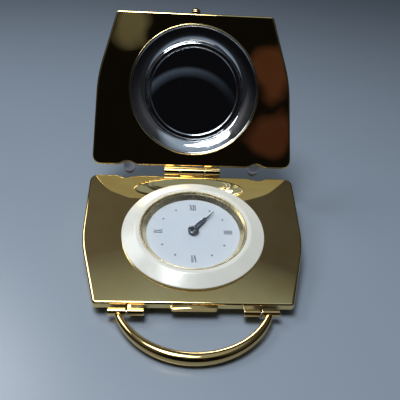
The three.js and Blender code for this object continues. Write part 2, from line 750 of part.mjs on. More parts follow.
function quartzCan() {
  const height = BOARD_BOTTOM - QUARTZ_RADIUS - SEAT_GAP;
  return rod(QUARTZ_RADIUS, 0, QUARTZ_LENGTH, 16)
    .rotateZ(radians(QUARTZ_ANGLE))
    .translate(...QUARTZ_PLACE, height);
}

function battery() {
  const bottom = cupFloorTop + BATTERY_LIFT;
  return disc(BATTERY_RADIUS, bottom, bottom + BATTERY_HEIGHT, 40);
}

function batteryStrap() {
  const bottom = cupFloorTop + SEAT_GAP;
  return block(-3, 3.2, -0.5, 0.5, bottom, bottom + STRAP_THICKNESS);
}

function setAngle(geometry, degreesClockwise) {
  return geometry.rotateZ(-radians(degreesClockwise));
}

function hourHand() {
  const hole = HOUR_PIPE_RADIUS + SEAT_GAP;
  const [low, high] = HOUR_HAND_LEVELS;
  const collet = turned([
    [hole, low],
    [HOUR_COLLET_RADIUS, low],
    [HOUR_COLLET_RADIUS, high],
    [hole, high],
  ], 32);
  const half = HOUR_HAND_HALF;
  const blade = slab([
    [-half, 0.8],
    [half, 0.8],
    [half * 0.76, HOUR_HAND_LENGTH - 0.8],
    [0, HOUR_HAND_LENGTH],
    [-half * 0.76, HOUR_HAND_LENGTH - 0.8],
  ], low, high);
  return setAngle(join(collet, blade), HOUR_ANGLE);
}

function minuteHand() {
  const hole = CANNON_RADIUS + SEAT_GAP;
  const [low, high] = MINUTE_HAND_LEVELS;
  const cap = turned([
    [0, HUB_BORE_TOP],
    [hole, HUB_BORE_TOP],
    [hole, low],
    [HUB_RADIUS, low],
    [HUB_RADIUS, high + 0.02],
    [HUB_RADIUS * 0.75, HUB_TOP - 0.07],
    [0, HUB_TOP],
  ], 32);
  const half = MINUTE_HAND_HALF;
  const blade = slab([
    [-half, 0.9],
    [half, 0.9],
    [half * 0.3, MINUTE_HAND_LENGTH],
    [-half * 0.3, MINUTE_HAND_LENGTH],
  ], low, high);
  return setAngle(join(cap, blade), MINUTE_ANGLE);
}

function cannonPinion() {
  const pipe = disc(CANNON_RADIUS, MOTION_WHEEL_LEVELS[0], CANNON_TOP, 20);
  const leaves = gear(CANNON_TEETH, MOTION_MODULE, motionTurn, MOTION_WHEEL_LEVELS);
  return cut(join(pipe, leaves), disc(ARBOR_RADIUS + SEAT_GAP, -1, 2, 16));
}

function centreWheel() {
  const wheel = gear(CENTRE_TEETH, TRAIN_MODULE, trainTurn, CENTRE_WHEEL_LEVELS);
  const arbor = disc(ARBOR_RADIUS, BRIDGE_TOP + RUN_GAP, ARBOR_TOP, 16);
  const pivot = disc(PIVOT_RADIUS, BRIDGE_TOP - BRIDGE_THICKNESS, 0, 12);
  return join(wheel, arbor, pivot);
}

function hourWheel() {
  const phase = motionTurn + Math.PI / HOUR_WHEEL_TEETH;
  const wheel = gear(HOUR_WHEEL_TEETH, hourModule, phase, HOUR_WHEEL_LEVELS);
  const pipe = disc(HOUR_PIPE_RADIUS, HOUR_WHEEL_LEVELS[0], HOUR_PIPE_TOP, 24);
  return cut(join(wheel, pipe), disc(CANNON_RADIUS + RUN_GAP, -1, 2, 20));
}

function minuteWheel() {
  const phase = gapPhase(motionTurn, MINUTE_WHEEL_TEETH);
  const wheel = gear(MINUTE_WHEEL_TEETH, MOTION_MODULE, phase, MOTION_WHEEL_LEVELS);
  const pinion = gear(MINUTE_PINION_TEETH, hourModule, motionTurn + Math.PI, MINUTE_PINION_LEVELS);
  return cut(join(wheel, pinion), disc(STUD_RADIUS + RUN_GAP, -1, 1, 12));
}

function stepWheel() {
  const phase = gapPhase(trainTurn, TRAIN_PINION_TEETH);
  const wheel = gear(STEP_TEETH, TRAIN_MODULE, trainTurn, STEP_WHEEL_LEVELS);
  const pinion = gear(TRAIN_PINION_TEETH, TRAIN_MODULE, phase, STEP_PINION_LEVELS);
  const pivot = disc(PIVOT_RADIUS, BRIDGE_TOP - BRIDGE_THICKNESS, PIVOT_TOP, 12);
  return join(wheel, pinion, pivot);
}

function rotor() {
  const phase = gapPhase(trainTurn, TRAIN_PINION_TEETH);
  const pinion = gear(TRAIN_PINION_TEETH, TRAIN_MODULE, phase, ROTOR_PINION_LEVELS);
  const magnet = disc(ROTOR_RADIUS, ...MAGNET_LEVELS, 20);
  const pivot = disc(PIVOT_RADIUS, BRIDGE_TOP - BRIDGE_THICKNESS, PIVOT_TOP, 12);
  return join(magnet, pinion, pivot);
}

const stemEnd = MOVEMENT_RADIUS + 0.25;
const crownEnd = INSERT_RADIUS - CUP_WALL - STEM_PULL - 0.1;

function slidingPinion() {
  const [from, to] = CLUTCH_SPAN;
  return cut(rod(CLUTCH_RADIUS, from, to, 16), rod(STEM_RADIUS + RUN_GAP, from - 1, to + 1, 12));
}

function settingCrown() {
  const crown = rod(CROWN_RADIUS, stemEnd + SEAT_GAP, crownEnd, 20);
  const bore = rod(STEM_RADIUS * STEM_NECK + SEAT_GAP, stemEnd - 1, crownEnd - 0.2, 12);
  return cut(crown, bore);
}

function settingStem() {
  const stem = rod(STEM_RADIUS, STEM_START, stemEnd, 12);
  const neck = rod(STEM_RADIUS * STEM_NECK, stemEnd - 0.1, crownEnd - 0.25, 12);
  return join(stem, neck);
}

// ---- Mirror set ------------------------------------------------------------------------

// Points of the flare, foot first. It follows the bezel ring, which it covers when the bag is shut.
function flare(rim, rimHeight, foot, footHeight) {
  const width = rim - foot;
  const drop = rimHeight - footHeight;
  const path = new THREE.Path();
  path.moveTo(foot, footHeight);
  path.bezierCurveTo(
    foot + width * 0.21, rimHeight - drop * 0.59,
    foot + width * 0.69, rimHeight - drop * 0.32,
    rim, rimHeight,
  );
  return path.getPoints(DISH_STEPS).map((p) => [p.x, p.y]);
}

function mirrorDish() {
  const floor = -DISH_DEPTH;
  const inner = flare(DISH_RADIUS - DISH_LIP, -DISH_LIP_DROP, DISH_FLOOR_RADIUS, floor);
  const outerFoot = DISH_FLOOR_RADIUS + 0.3;
  const outer = flare(DISH_RADIUS, -DISH_LIP_DROP - DISH_WALL, outerFoot, floor - DISH_WALL);
  return turned([
    [0, floor],
    ...inner,
    [DISH_RADIUS, -DISH_LIP_DROP],
    ...outer.reverse(),
    [0, floor - DISH_WALL],
  ]);
}

function mirrorRing() {
  const bottom = -DISH_DEPTH + SEAT_GAP;
  const inner = MIRROR_RADIUS + SEAT_GAP;
  const outer = DISH_FLOOR_RADIUS - SEAT_GAP;
  const top = bottom + MIRROR_RING_HEIGHT;
  const soft = 0.25;
  return turned([
    [inner, bottom],
    [outer, bottom],
    [outer, top - soft],
    [outer - soft, top],
    [inner + soft, top],
    [inner, top - soft],
  ]);
}

function mirror() {
  const bottom = -DISH_DEPTH + SEAT_GAP;
  return disc(MIRROR_RADIUS, bottom, bottom + MIRROR_THICKNESS);
}

// ---- Assembly --------------------------------------------------------------------------

const finishes = {
  gilt: { color: 0xd8b45c, metalness: 1, roughness: 0.12 },
  cream: { color: 0xece8dc, metalness: 0, roughness: 0.35 },
  dialWhite: { color: 0xe9eef4, metalness: 0, roughness: 0.6 },
  slate: { color: 0x2c333c, metalness: 0.4, roughness: 0.35 },
  chrome: { color: 0xdcdde0, metalness: 1, roughness: 0.08 },
  mirrorGlass: { color: 0xb8bcc4, metalness: 1, roughness: 0.02 },
  clearGlass: { color: 0xf4f8fa, metalness: 0, roughness: 0.05, transparent: true, opacity: 0.3 },
  clearRubber: { color: 0xcfd4d8, metalness: 0, roughness: 0.4, transparent: true, opacity: 0.6 },
  steel: { color: 0xa9abad, metalness: 1, roughness: 0.3 },
  brass: { color: 0xc9a64f, metalness: 1, roughness: 0.35 },
  plastic: { color: 0xf1efe6, metalness: 0, roughness: 0.5 },
  copper: { color: 0xb06a3c, metalness: 0.8, roughness: 0.4 },
  board: { color: 0x2f5d3a, metalness: 0, roughness: 0.5 },
};

function piece(parent, name, finish, geometry, place = [0, 0, 0]) {
  const mesh = new THREE.Mesh(geometry, new THREE.MeshStandardMaterial(finishes[finish]));
  mesh.name = name;
  mesh.position.set(...place);
  parent.add(mesh);
  return mesh;
}

function group(parent, place = [0, 0, 0]) {
  const made = new THREE.Group();
  made.position.set(...place);
  parent.add(made);
  return made;
}

const sides = [['left', -1], ['right', 1]];
const faceDrop = -PARTING_GAP / 2;
const footPlace = (side) => [(side * FOOT_SPACING) / 2, -(HINGE_OFFSET + DENT_DEPTH), -FOOT_DEPTH];
const topEdge = -(HINGE_OFFSET + CASE_LENGTH);
const tilt = Math.atan(BACK_SLOPE);

function addBaseCase(hinge) {
  const face = group(hinge, [0, 0, faceDrop]);
  const eyes = group(face, [0, topEdge - LUG_REACH, -LUG_DROP]);
  piece(face, 'base_shell', 'gilt', caseShell(BASE_WALL));
  piece(face, 'base_face_plate', 'gilt', facePlate(INSERT_RADIUS + SEAT_GAP, 0.1));
  piece(hinge, 'base_hinge_leaf', 'gilt',
    hingeLeaf(-BASE_KNUCKLE / 2, BASE_KNUCKLE / 2, HINGE_PIN_RADIUS + SEAT_GAP));
  const pinEnd = BASE_KNUCKLE / 2 + KNUCKLE_GAP + LID_KNUCKLE;
  piece(hinge, 'hinge_pin', 'steel', rod(HINGE_PIN_RADIUS, -pinEnd, pinEnd));
  piece(face, 'catch_tab', 'gilt', catchTab(), [0, topEdge, 0]);
  for (const [name, side] of sides) {
    piece(face, `base_foot_${name}`, 'clearRubber', foot(), footPlace(side));
    const turn = side < 0 ? Math.PI : 0;
    piece(eyes, `handle_lug_${name}`, 'gilt', handleLug().rotateY(turn));
    piece(eyes, `handle_pin_${name}`, 'steel', handlePin().rotateY(turn));
  }
  addHandle(eyes);
  return face;
}

// The bow's middle rests on whatever the clock lies on.
function addHandle(eyes) {
  const backBelowEyes = DEPTH_BOTTOM - BACK_SLOPE * (CASE_LENGTH + LUG_REACH) - LUG_DROP;
  const eyeHeight = backBelowEyes * Math.cos(tilt);
  const slope = Math.asin((eyeHeight - HANDLE_MIDDLE_RADIUS) / HANDLE_REACH);
  const bail = piece(eyes, 'handle_bail', 'gilt', handleBail());
  bail.rotation.x = slope - tilt;
}

function addInsert(face) {
  const centre = group(face, [0, -HINGE_OFFSET - DIAL_AT, 0]);
  piece(centre, 'bezel_ring', 'cream', bezelRing());
  piece(centre, 'dial_surround', 'gilt', dialSurround());
  piece(centre, 'crystal', 'clearGlass', crystal());
  piece(centre, 'dial', 'dialWhite', dial());
  piece(centre, 'insert_cup', 'steel', insertCup());
  piece(centre, 'movement_holder', 'plastic', movementHolder());
  piece(centre, 'main_plate', 'brass', mainPlate());
  piece(centre, 'train_bridge', 'steel', trainBridge());
  SCREW_PLACES.forEach((place, i) => {
    piece(centre, `bridge_screw_${i + 1}`, 'steel', bridgeScrew(), [...place, 0]);
  });
  piece(centre, 'stator', 'steel', stator());
  piece(centre, 'coil', 'copper', coil());
  piece(centre, 'circuit_board', 'board', circuitBoard());
  piece(centre, 'quartz_can', 'steel', quartzCan());
  piece(centre, 'battery', 'steel', battery(), [...BATTERY_PLACE, 0]);
  piece(centre, 'battery_strap', 'steel', batteryStrap(), [...BATTERY_PLACE, 0]);
  piece(centre, 'centre_wheel', 'brass', centreWheel());
  piece(centre, 'cannon_pinion', 'steel', cannonPinion());
  piece(centre, 'minute_hand', 'slate', minuteHand());
  piece(centre, 'hour_wheel', 'brass', hourWheel());
  piece(centre, 'hour_hand', 'slate', hourHand());
  piece(centre, 'minute_wheel', 'brass', minuteWheel(), [...motionPlace, 0]);
  piece(centre, 'step_wheel', 'brass', stepWheel(), [...stepPlace, 0]);
  piece(centre, 'rotor', 'steel', rotor(), [...rotorPlace, 0]);
  const stem = group(centre, [0, 0, STEM_HEIGHT]);
  piece(stem, 'sliding_pinion', 'steel', slidingPinion());
  piece(stem, 'setting_stem', 'steel', settingStem());
  piece(stem, 'setting_crown', 'steel', settingCrown());
}

// The lid is a second half case, turned round and opened about the hinge axis.
function addLid(hinge) {
  const swing = group(hinge);
  swing.rotation.x = radians(180 - OPEN_ANGLE);
  const turned180 = group(swing);
  turned180.rotation.z = Math.PI;
  const face = group(turned180, [0, 0, faceDrop]);
  piece(face, 'lid_shell', 'gilt', caseShell(LID_WALL));
  piece(face, 'lid_face_plate', 'gilt', facePlate(DISH_RADIUS + SEAT_GAP, 0.15));
  const inner = BASE_KNUCKLE / 2 + KNUCKLE_GAP;
  const bore = HINGE_PIN_RADIUS + RUN_GAP;
  // Turned round, the lid's left pieces lie on its own +X side.
  piece(turned180, 'lid_hinge_leaf_left', 'gilt', hingeLeaf(inner, inner + LID_KNUCKLE, bore));
  piece(turned180, 'lid_hinge_leaf_right', 'gilt', hingeLeaf(-inner - LID_KNUCKLE, -inner, bore));
  const centre = group(face, [0, -HINGE_OFFSET - MIRROR_AT, 0]);
  piece(centre, 'mirror_dish', 'chrome', mirrorDish());
  piece(centre, 'mirror_ring', 'chrome', mirrorRing());
  piece(centre, 'mirror', 'mirrorGlass', mirror());
  piece(face, 'clasp_knob', 'gilt', clasp(), [0, topEdge, -KNOB_DROP]);
  piece(face, 'lid_foot_left', 'clearRubber', foot(), footPlace(1));
  piece(face, 'lid_foot_right', 'clearRubber', foot(), footPlace(-1));
}

const clock = new THREE.Group();
const hinge = group(clock);
hinge.rotation.x = tilt;
const baseFace = addBaseCase(hinge);
addInsert(baseFace);
addLid(hinge);

// The origin is the middle of the footprint, at the height of the surface it stands on.
const box = new THREE.Box3().setFromObject(clock, true);
hinge.position.set(-(box.min.x + box.max.x) / 2, -(box.min.y + box.max.y) / 2, -box.min.z);

export default clock;
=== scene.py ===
# Folding desk clock shaped like a handbag: its looks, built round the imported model.
# Each piece is drawn in millimetres in the frame of the half case that carries it, and that
# half's matrix puts it in the row's metres.

import json
import math

import bmesh
import bpy
from mathutils import Matrix, Vector


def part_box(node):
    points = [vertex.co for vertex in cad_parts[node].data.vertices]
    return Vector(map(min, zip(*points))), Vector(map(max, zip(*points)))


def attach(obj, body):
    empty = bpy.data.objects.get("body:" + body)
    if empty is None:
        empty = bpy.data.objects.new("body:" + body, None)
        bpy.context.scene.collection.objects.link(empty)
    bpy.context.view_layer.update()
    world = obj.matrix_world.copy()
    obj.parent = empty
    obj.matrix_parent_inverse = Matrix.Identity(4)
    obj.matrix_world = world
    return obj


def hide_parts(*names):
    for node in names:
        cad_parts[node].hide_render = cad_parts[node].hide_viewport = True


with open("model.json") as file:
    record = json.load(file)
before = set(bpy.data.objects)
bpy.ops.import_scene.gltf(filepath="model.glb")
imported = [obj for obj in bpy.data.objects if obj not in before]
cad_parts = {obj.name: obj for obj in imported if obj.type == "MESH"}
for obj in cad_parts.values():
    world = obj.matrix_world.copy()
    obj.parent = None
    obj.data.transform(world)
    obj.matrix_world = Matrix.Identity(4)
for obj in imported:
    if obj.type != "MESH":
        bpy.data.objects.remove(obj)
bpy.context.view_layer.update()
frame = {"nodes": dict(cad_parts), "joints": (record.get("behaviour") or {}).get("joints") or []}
joints = {joint["name"]: joint for joint in frame["joints"]}
MM = 0.001

# ---- Camera ---------------------------------------------------------------------------------
# A hand-held view from above the handle, looking down at the dial and into the open lid.

CAMERA_AT = Vector((-3.99, -84.0, 65.2)) * MM
CAMERA_HEADING = math.radians(3.66)      # right of straight ahead
CAMERA_DIP = math.radians(32.92)
CAMERA_ROLL = math.radians(3.37)

camera = bpy.data.objects.new("camera", bpy.data.cameras.new("camera"))
camera.data.sensor_width = 36
camera.data.lens = 42.31
camera.data.clip_start = 0.005
camera.data.clip_end = 20
camera.matrix_world = (
    Matrix.Translation(CAMERA_AT)
    @ Matrix.Rotation(-CAMERA_HEADING, 4, "Z")
    @ Matrix.Rotation(math.pi / 2 - CAMERA_DIP, 4, "X")
    @ Matrix.Rotation(CAMERA_ROLL, 4, "Z")
)
bpy.context.scene.collection.objects.link(camera)
bpy.context.scene.camera = camera
bpy.context.scene.view_settings.view_transform = "Standard"

# ---- Floor and studio light -----------------------------------------------------------------
# A plain pale table top under a soft window light from behind the left shoulder of the clock,
# in a dim room: polished plates show what stands round them, so the room has a dark side too.


def add_node(tree, kind, inputs=None, **settings):
    """A shader or geometry node with its settings, and each input set or linked by its name."""
    made = tree.nodes.new(kind)
    for key, value in settings.items():
        setattr(made, key, value)
    for key, value in (inputs or {}).items():
        if isinstance(value, bpy.types.NodeSocket):
            tree.links.new(value, made.inputs[key])
        else:
            made.inputs[key].default_value = value
    return made


def sums(tree, operation, first, second):
    """The result of one sum with two values, each a socket or a number."""
    return add_node(tree, "ShaderNodeMath", {0: first, 1: second}, operation=operation).outputs["Value"]


def new_finish(name, colour, metallic=0.0, roughness=0.5):
    """A material with one Principled shader: returns it, its node tree and the shader."""
    material = bpy.data.materials.new(name)
    material.use_nodes = True
    tree = material.node_tree
    shader = tree.nodes["Principled BSDF"]
    shader.inputs["Base Color"].default_value = (*colour, 1)
    shader.inputs["Metallic"].default_value = metallic
    shader.inputs["Roughness"].default_value = roughness
    return material, tree, shader


def noise(tree, coords, size, detail=3.0, stretch=(1, 1, 1)):
    """Soft noise whose blotches are about `size` millimetres wide, before any stretch."""
    mapping = add_node(tree, "ShaderNodeMapping", {"Vector": coords})
    mapping.inputs["Scale"].default_value = stretch
    made = add_node(tree, "ShaderNodeTexNoise", {"Vector": mapping.outputs["Vector"]})
    made.inputs["Scale"].default_value = 1 / (size * MM)
    made.inputs["Detail"].default_value = detail
    return made.outputs["Fac"]


def between(tree, value, low, high, from_low=0.35, from_high=0.65):
    """Spreads a noise value over low to high."""
    made = add_node(tree, "ShaderNodeMapRange", {"Value": value})
    keys = ("From Min", "From Max", "To Min", "To Max")
    for key, number in zip(keys, (from_low, from_high, low, high)):
        made.inputs[key].default_value = number
    return made.outputs["Result"]


def blend_colours(tree, share, first, second):
    """A colour between two, each a socket or three numbers."""
    mix = add_node(tree, "ShaderNodeMix", data_type="RGBA")
    tree.links.new(share, mix.inputs["Factor"])
    for socket, colour in ((mix.inputs[6], first), (mix.inputs[7], second)):
        if isinstance(colour, bpy.types.NodeSocket):
            tree.links.new(colour, socket)
        else:
            socket.default_value = (*colour, 1)
    return mix.outputs[2]


def add_bump(tree, shader, height, depth_mm, before=None):
    """Adds relief of that depth to a shader, on top of any relief before it."""
    bump = add_node(tree, "ShaderNodeBump", {"Height": height, "Strength": 1.0})
    bump.inputs["Distance"].default_value = depth_mm * MM
    if before is not None:
        tree.links.new(before, bump.inputs["Normal"])
    tree.links.new(bump.outputs["Normal"], shader.inputs["Normal"])
    return bump.outputs["Normal"]


FLOOR_COLOUR = (0.29, 0.345, 0.42)
FLOOR_REACH = 3.0                        # metres
corner_signs = ((-1, -1), (1, -1), (1, 1), (-1, 1))
floor_corners = [(x * FLOOR_REACH, y * FLOOR_REACH, 0) for x, y in corner_signs]
floor_mesh = bpy.data.meshes.new("floor")
floor_mesh.from_pydata(floor_corners, [], [(0, 1, 2, 3)])
floor = bpy.data.objects.new("floor", floor_mesh)
bpy.context.scene.collection.objects.link(floor)
floor_finish, tree, shader = new_finish("table_top", FLOOR_COLOUR, roughness=0.32)
shader.inputs["IOR"].default_value = 1.85
coords = add_node(tree, "ShaderNodeTexCoord").outputs["Object"]
tone = blend_colours(tree, noise(tree, coords, 60), FLOOR_COLOUR, [c * 0.93 for c in FLOOR_COLOUR])
tree.links.new(tone, shader.inputs["Base Color"])
add_bump(tree, shader, noise(tree, coords, 0.8, 4), 0.01)
floor.data.materials.append(floor_finish)


def add_light(name, at, aim, size, power, colour):
    """A soft rectangular light, in metres, that faces the point it is aimed at."""
    light = bpy.data.lights.new(name, "AREA")
    light.shape = "RECTANGLE"
    light.size, light.size_y = size
    light.energy = power
    light.color = colour
    lamp = bpy.data.objects.new(name, light)
    turn = (Vector(at) - Vector(aim)).to_track_quat("Z", "Y").to_matrix().to_4x4()
    lamp.matrix_world = Matrix.Translation(at) @ turn
    lamp.visible_camera = False
    bpy.context.scene.collection.objects.link(lamp)


add_light("window", (-0.19, 0.12, 0.27), (-0.01, -0.01, 0), (0.18, 0.12), 0.29, (0.93, 0.97, 1.0))
add_light("ceiling_lamp", (-0.05, -0.03, 0.29), (-0.01, -0.01, 0), (0.12, 0.12), 0.60, (0.95, 0.98, 1.0))

# The room: a pale ceiling straight above, dim walls, a dark side behind the viewer, and a few
# faint things on that side that only the polished lid and its mirror pick up.
CEILING = (0.31, 0.38, 0.44)
WALL_LEFT, WALL_RIGHT = (0.11, 0.11, 0.11), (0.058, 0.06, 0.064)
DADO = (0.014, 0.015, 0.018)
DARK_SIDE = (0.004, 0.004, 0.0045)
dark_towards = Vector((0.0, -0.80, 0.52)).normalized()
world = bpy.data.worlds.new("room")
bpy.context.scene.world = world
world.use_nodes = True
tree = world.node_tree
direction = add_node(tree, "ShaderNodeTexCoord").outputs["Generated"]
parts = add_node(tree, "ShaderNodeSeparateXYZ", {"Vector": direction}).outputs


def towards(tree, direction, way):
    """The cosine of the angle between the looked-at direction and one way."""
    facing = add_node(tree, "ShaderNodeVectorMath", {0: direction}, operation="DOT_PRODUCT")
    facing.inputs[1].default_value = Vector(way).normalized()
    return facing.outputs["Value"]


def degrees_cos(angle):
    return math.cos(math.radians(angle))


to_the_right = between(tree, parts["X"], 0, 1, -0.25, 0.3)
room = blend_colours(tree, to_the_right, WALL_LEFT, WALL_RIGHT)
above_dado = between(tree, parts["Z"], 0, 1, 0.45, 0.75)
room = blend_colours(tree, above_dado, DADO, room)
in_the_dark = towards(tree, direction, dark_towards)
in_the_dark = between(tree, in_the_dark, 0, 1, degrees_cos(42), degrees_cos(24))
room = blend_colours(tree, in_the_dark, room, DARK_SIDE)
overhead = between(tree, parts["Z"], 0, 1, 0.85, 0.92)
room = blend_colours(tree, overhead, room, CEILING)

# Directions shifted a little every way, so that what is round in them looks ragged.
RAGGED_SCALE, RAGGED_SHIFT = 9.0, 0.10
ragged = add_node(tree, "ShaderNodeTexNoise", {"Vector": direction, "Scale": RAGGED_SCALE})
ragged = add_node(tree, "ShaderNodeVectorMath", {0: ragged.outputs["Color"], 1: (0.5, 0.5, 0.5)},
                  operation="SUBTRACT")
ragged = add_node(tree, "ShaderNodeVectorMath", {0: ragged.outputs["Vector"], "Scale": RAGGED_SHIFT},
                  operation="SCALE")
bent = add_node(tree, "ShaderNodeVectorMath", {0: direction, 1: ragged.outputs["Vector"]},
                operation="ADD")
bent = add_node(tree, "ShaderNodeVectorMath", {0: bent.outputs["Vector"]}, operation="NORMALIZE")
SOFT_EDGE = 0.6                          # degrees
dim_things = (                           # which way, half width in degrees, colour
    ((0.193, -0.736, 0.649), 2.5, (0.060, 0.026, 0.020)),
    ((0.200, -0.805, 0.560), 2.7, (0.048, 0.021, 0.017)),
    ((-0.080, -0.700, 0.709), 1.9, (0.095, 0.100, 0.090)),
)
for way, half_width, colour in dim_things:
    seen = towards(tree, bent.outputs["Vector"], way)
    covered = between(tree, seen, 0, 1, degrees_cos(half_width + SOFT_EDGE),
                      degrees_cos(half_width - SOFT_EDGE))
    room = blend_colours(tree, covered, room, colour)

# A faint arc of light that fades to the right.
ARC_TOWARDS, ARC_COLOUR = (0.024, -0.817, 0.576), (0.055, 0.07, 0.09)
ARC_ANGLE, ARC_INNER_FADE, ARC_OUTER_FADE = 6.05, 0.9, 0.4      # degrees
seen = towards(tree, direction, ARC_TOWARDS)
inner = between(tree, seen, 1, 0, degrees_cos(ARC_ANGLE), degrees_cos(ARC_ANGLE - ARC_INNER_FADE))
outer = between(tree, seen, 0, 1, degrees_cos(ARC_ANGLE + ARC_OUTER_FADE), degrees_cos(ARC_ANGLE))
fading = between(tree, parts["X"], 1, 0.15, 0.02, 0.11)
upper = between(tree, parts["Z"], 0, 1, 0.59, 0.63)
band = sums(tree, "MULTIPLY", inner, outer)
band = sums(tree, "MULTIPLY", band, fading)
band = sums(tree, "MULTIPLY", band, upper)
room = blend_colours(tree, band, room, ARC_COLOUR)
tree.links.new(room, tree.nodes["Background"].inputs["Color"])

# ---- Case shells ----------------------------------------------------------------------------
# Two pans of pressed metal, polished and gold plated, with upright sides that turn in to a
# slanted back. The lower one carries the clock, the upper one the mirror.

arbor_axis = Vector(joints["minute_hand_turn"]["axis"])
TILT = math.atan2(arbor_axis.y, -arbor_axis.z)
OPENING = math.radians(joints["lid_hinge"]["range_deg"][1])
HINGE_AT = sum(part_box("hinge_pin"), Vector()) / 2
FACE_DROP = 0.15                         # hinge axis above each face plate

to_metres = Matrix.Scale(MM, 4)
hinge_frame = Matrix.Translation(HINGE_AT) @ Matrix.Rotation(TILT, 4, "X") @ to_metres
lid_turn = Matrix.Rotation(math.pi - OPENING, 4, "X") @ Matrix.Rotation(math.pi, 4, "Z")
lid_hinge_frame = hinge_frame @ lid_turn
face_drop = Matrix.Translation((0, 0, -FACE_DROP))
base_frame = hinge_frame @ face_drop
lid_frame = lid_hinge_frame @ face_drop


def curve(start, *hull, count=8):
    """Points after the start along a straight line or a bend with that control hull."""
    points = []
    for i in range(1, count + 1):
        level = [Vector(p) for p in (start, *hull)]
        while len(level) > 1:
            level = [a.lerp(b, i / count) for a, b in zip(level, level[1:])]
        points.append(level[0])
    return points


def skin(rings, loop=False):
    """Faces over rings with equal point counts: a loop, or a tube with both ends filled."""
    count = len(rings[0])
    points = [p for ring in rings for p in ring]
    faces = []
    for r in range(len(rings) if loop else len(rings) - 1):
        near, far = r * count, (r + 1) % len(rings) * count
        for i in range(count):
            j = (i + 1) % count
            faces.append((near + i, near + j, far + j, far + i))
    if not loop:
        faces.append(tuple(range(count)))
        faces.append(tuple(range(len(points) - count, len(points))))
    return points, faces


def moved(shape, matrix):
    """The same shape somewhere else."""
    return [matrix @ Vector(p) for p in shape[0]], shape[1]


def mark_wear(mesh):
    """Stores how sharply the surface bulges at each point, which is where plating rubs thin."""
    work = bmesh.new()
    work.from_mesh(mesh)
    wear = mesh.attributes.new("wear", "FLOAT", "POINT")
    sharpest = 4.5                       # full wear, per millimetre
    finest = 0.02                        # millimetres, so that slivers don't count as edges
    for i, vert in enumerate(work.verts):
        bulge = 0.0
        for edge in vert.link_edges:
            if len(edge.link_faces) == 2:
                area = sum(face.calc_area() for face in edge.link_faces)
                across = area / (2 * edge.calc_length() * MM)
                bulge = max(bulge, edge.calc_face_angle_signed(0) / max(across, finest))
        wear.data[i].value = min(1.0, bulge / sharpest)
    work.free()


CRISP_ANGLE = math.radians(40)           # a sharper edge than this is shaded crisp


def build(name, shapes, where, finish):
    """A mesh piece from one or more shapes, put in the row frame, with its crisp edges marked."""
    mesh = bpy.data.meshes.new(name)
    points, faces = [], []
    for shape_points, shape_faces in shapes:
        start = len(points)
        points += [where @ Vector(p) for p in shape_points]
        faces += [tuple(start + i for i in face) for face in shape_faces]
    mesh.from_pydata(points, [], faces)
    work = bmesh.new()
    work.from_mesh(mesh)
    bmesh.ops.remove_doubles(work, verts=work.verts, dist=1e-7)
    bmesh.ops.dissolve_degenerate(work, edges=work.edges, dist=1e-8)
    bmesh.ops.recalc_face_normals(work, faces=work.faces)
    work.to_mesh(mesh)
    work.free()
    mesh.shade_smooth()
    mesh.set_sharp_from_angle(angle=CRISP_ANGLE)
    mark_wear(mesh)
    mesh.materials.append(finish)
    made = bpy.data.objects.new(name, mesh)
    bpy.context.scene.collection.objects.link(made)
    return made


def gilt_finish(name, gold=(0.90, 0.70, 0.33), deep=(0.86, 0.63, 0.27), dull=(0.012, 0.032)):
    """Polished gold plate: faint hairlines and mottling, paler and duller where edges rub."""
    rubbed, rubbed_dullness = (0.94, 0.80, 0.50), 0.16
    material, tree, shader = new_finish(name, gold, metallic=1.0, roughness=0.06)
    coords = add_node(tree, "ShaderNodeTexCoord").outputs["Object"]
    edge = add_node(tree, "ShaderNodeAttribute", attribute_name="wear").outputs["Fac"]
    patches = sums(tree, "MULTIPLY", edge, noise(tree, coords, 0.7, 5))
    worn = between(tree, patches, 0, 1, 0.25, 0.75)
    mottle = between(tree, noise(tree, coords, 6), 0, 1)
    tone = blend_colours(tree, mottle, gold, deep)
    tone = blend_colours(tree, worn, tone, rubbed)
    tree.links.new(tone, shader.inputs["Base Color"])
    haze = between(tree, noise(tree, coords, 2.5, 5), *dull)
    rough = add_node(tree, "ShaderNodeMath", {0: worn, 1: rubbed_dullness, 2: haze},
                     operation="MULTIPLY_ADD")
    tree.links.new(rough.outputs["Value"], shader.inputs["Roughness"])
    hairlines = noise(tree, coords, 0.25, 2, stretch=(0.06, 1, 1))
    relief = add_bump(tree, shader, hairlines, 0.0004)
    relief = add_bump(tree, shader, noise(tree, coords, 9, 1), 0.02, before=relief)
    return material, tree, shader, coords, relief


gilt = gilt_finish("gilt_plating")[0]

CASE_LENGTH = 35.9
HINGE_OFFSET = 1.34
BOTTOM_HALF_WIDTH, BOTTOM_CORNER = 23.7, 2.2
SHOULDER_HALF_WIDTH, SHOULDER_AT, SHOULDER_BLEND = 22.8, 20.8, 4.0
TOP_HALF_WIDTH, TOP_CORNER = 18.4, 0.6
FOOT_AT = 15.4                      # either side of the middle
DENT_HALF_WIDTH, DENT_DEPTH = 2.8, 0.75
DEPTH_BOTTOM, BACK_SLOPE, FLAT_BACK = 9.4, 0.175, 25.0
BACK_BEND, DEPTH_TOP = 4.4, 1.5
BACK_EDGE_ROUND, STRAIGHT_WALL = 2.4, 0.55
PLATE_THICKNESS, SEAT_GAP = 1.2, 0.03
BASE_WALL, LID_WALL = 0.9, 0.6


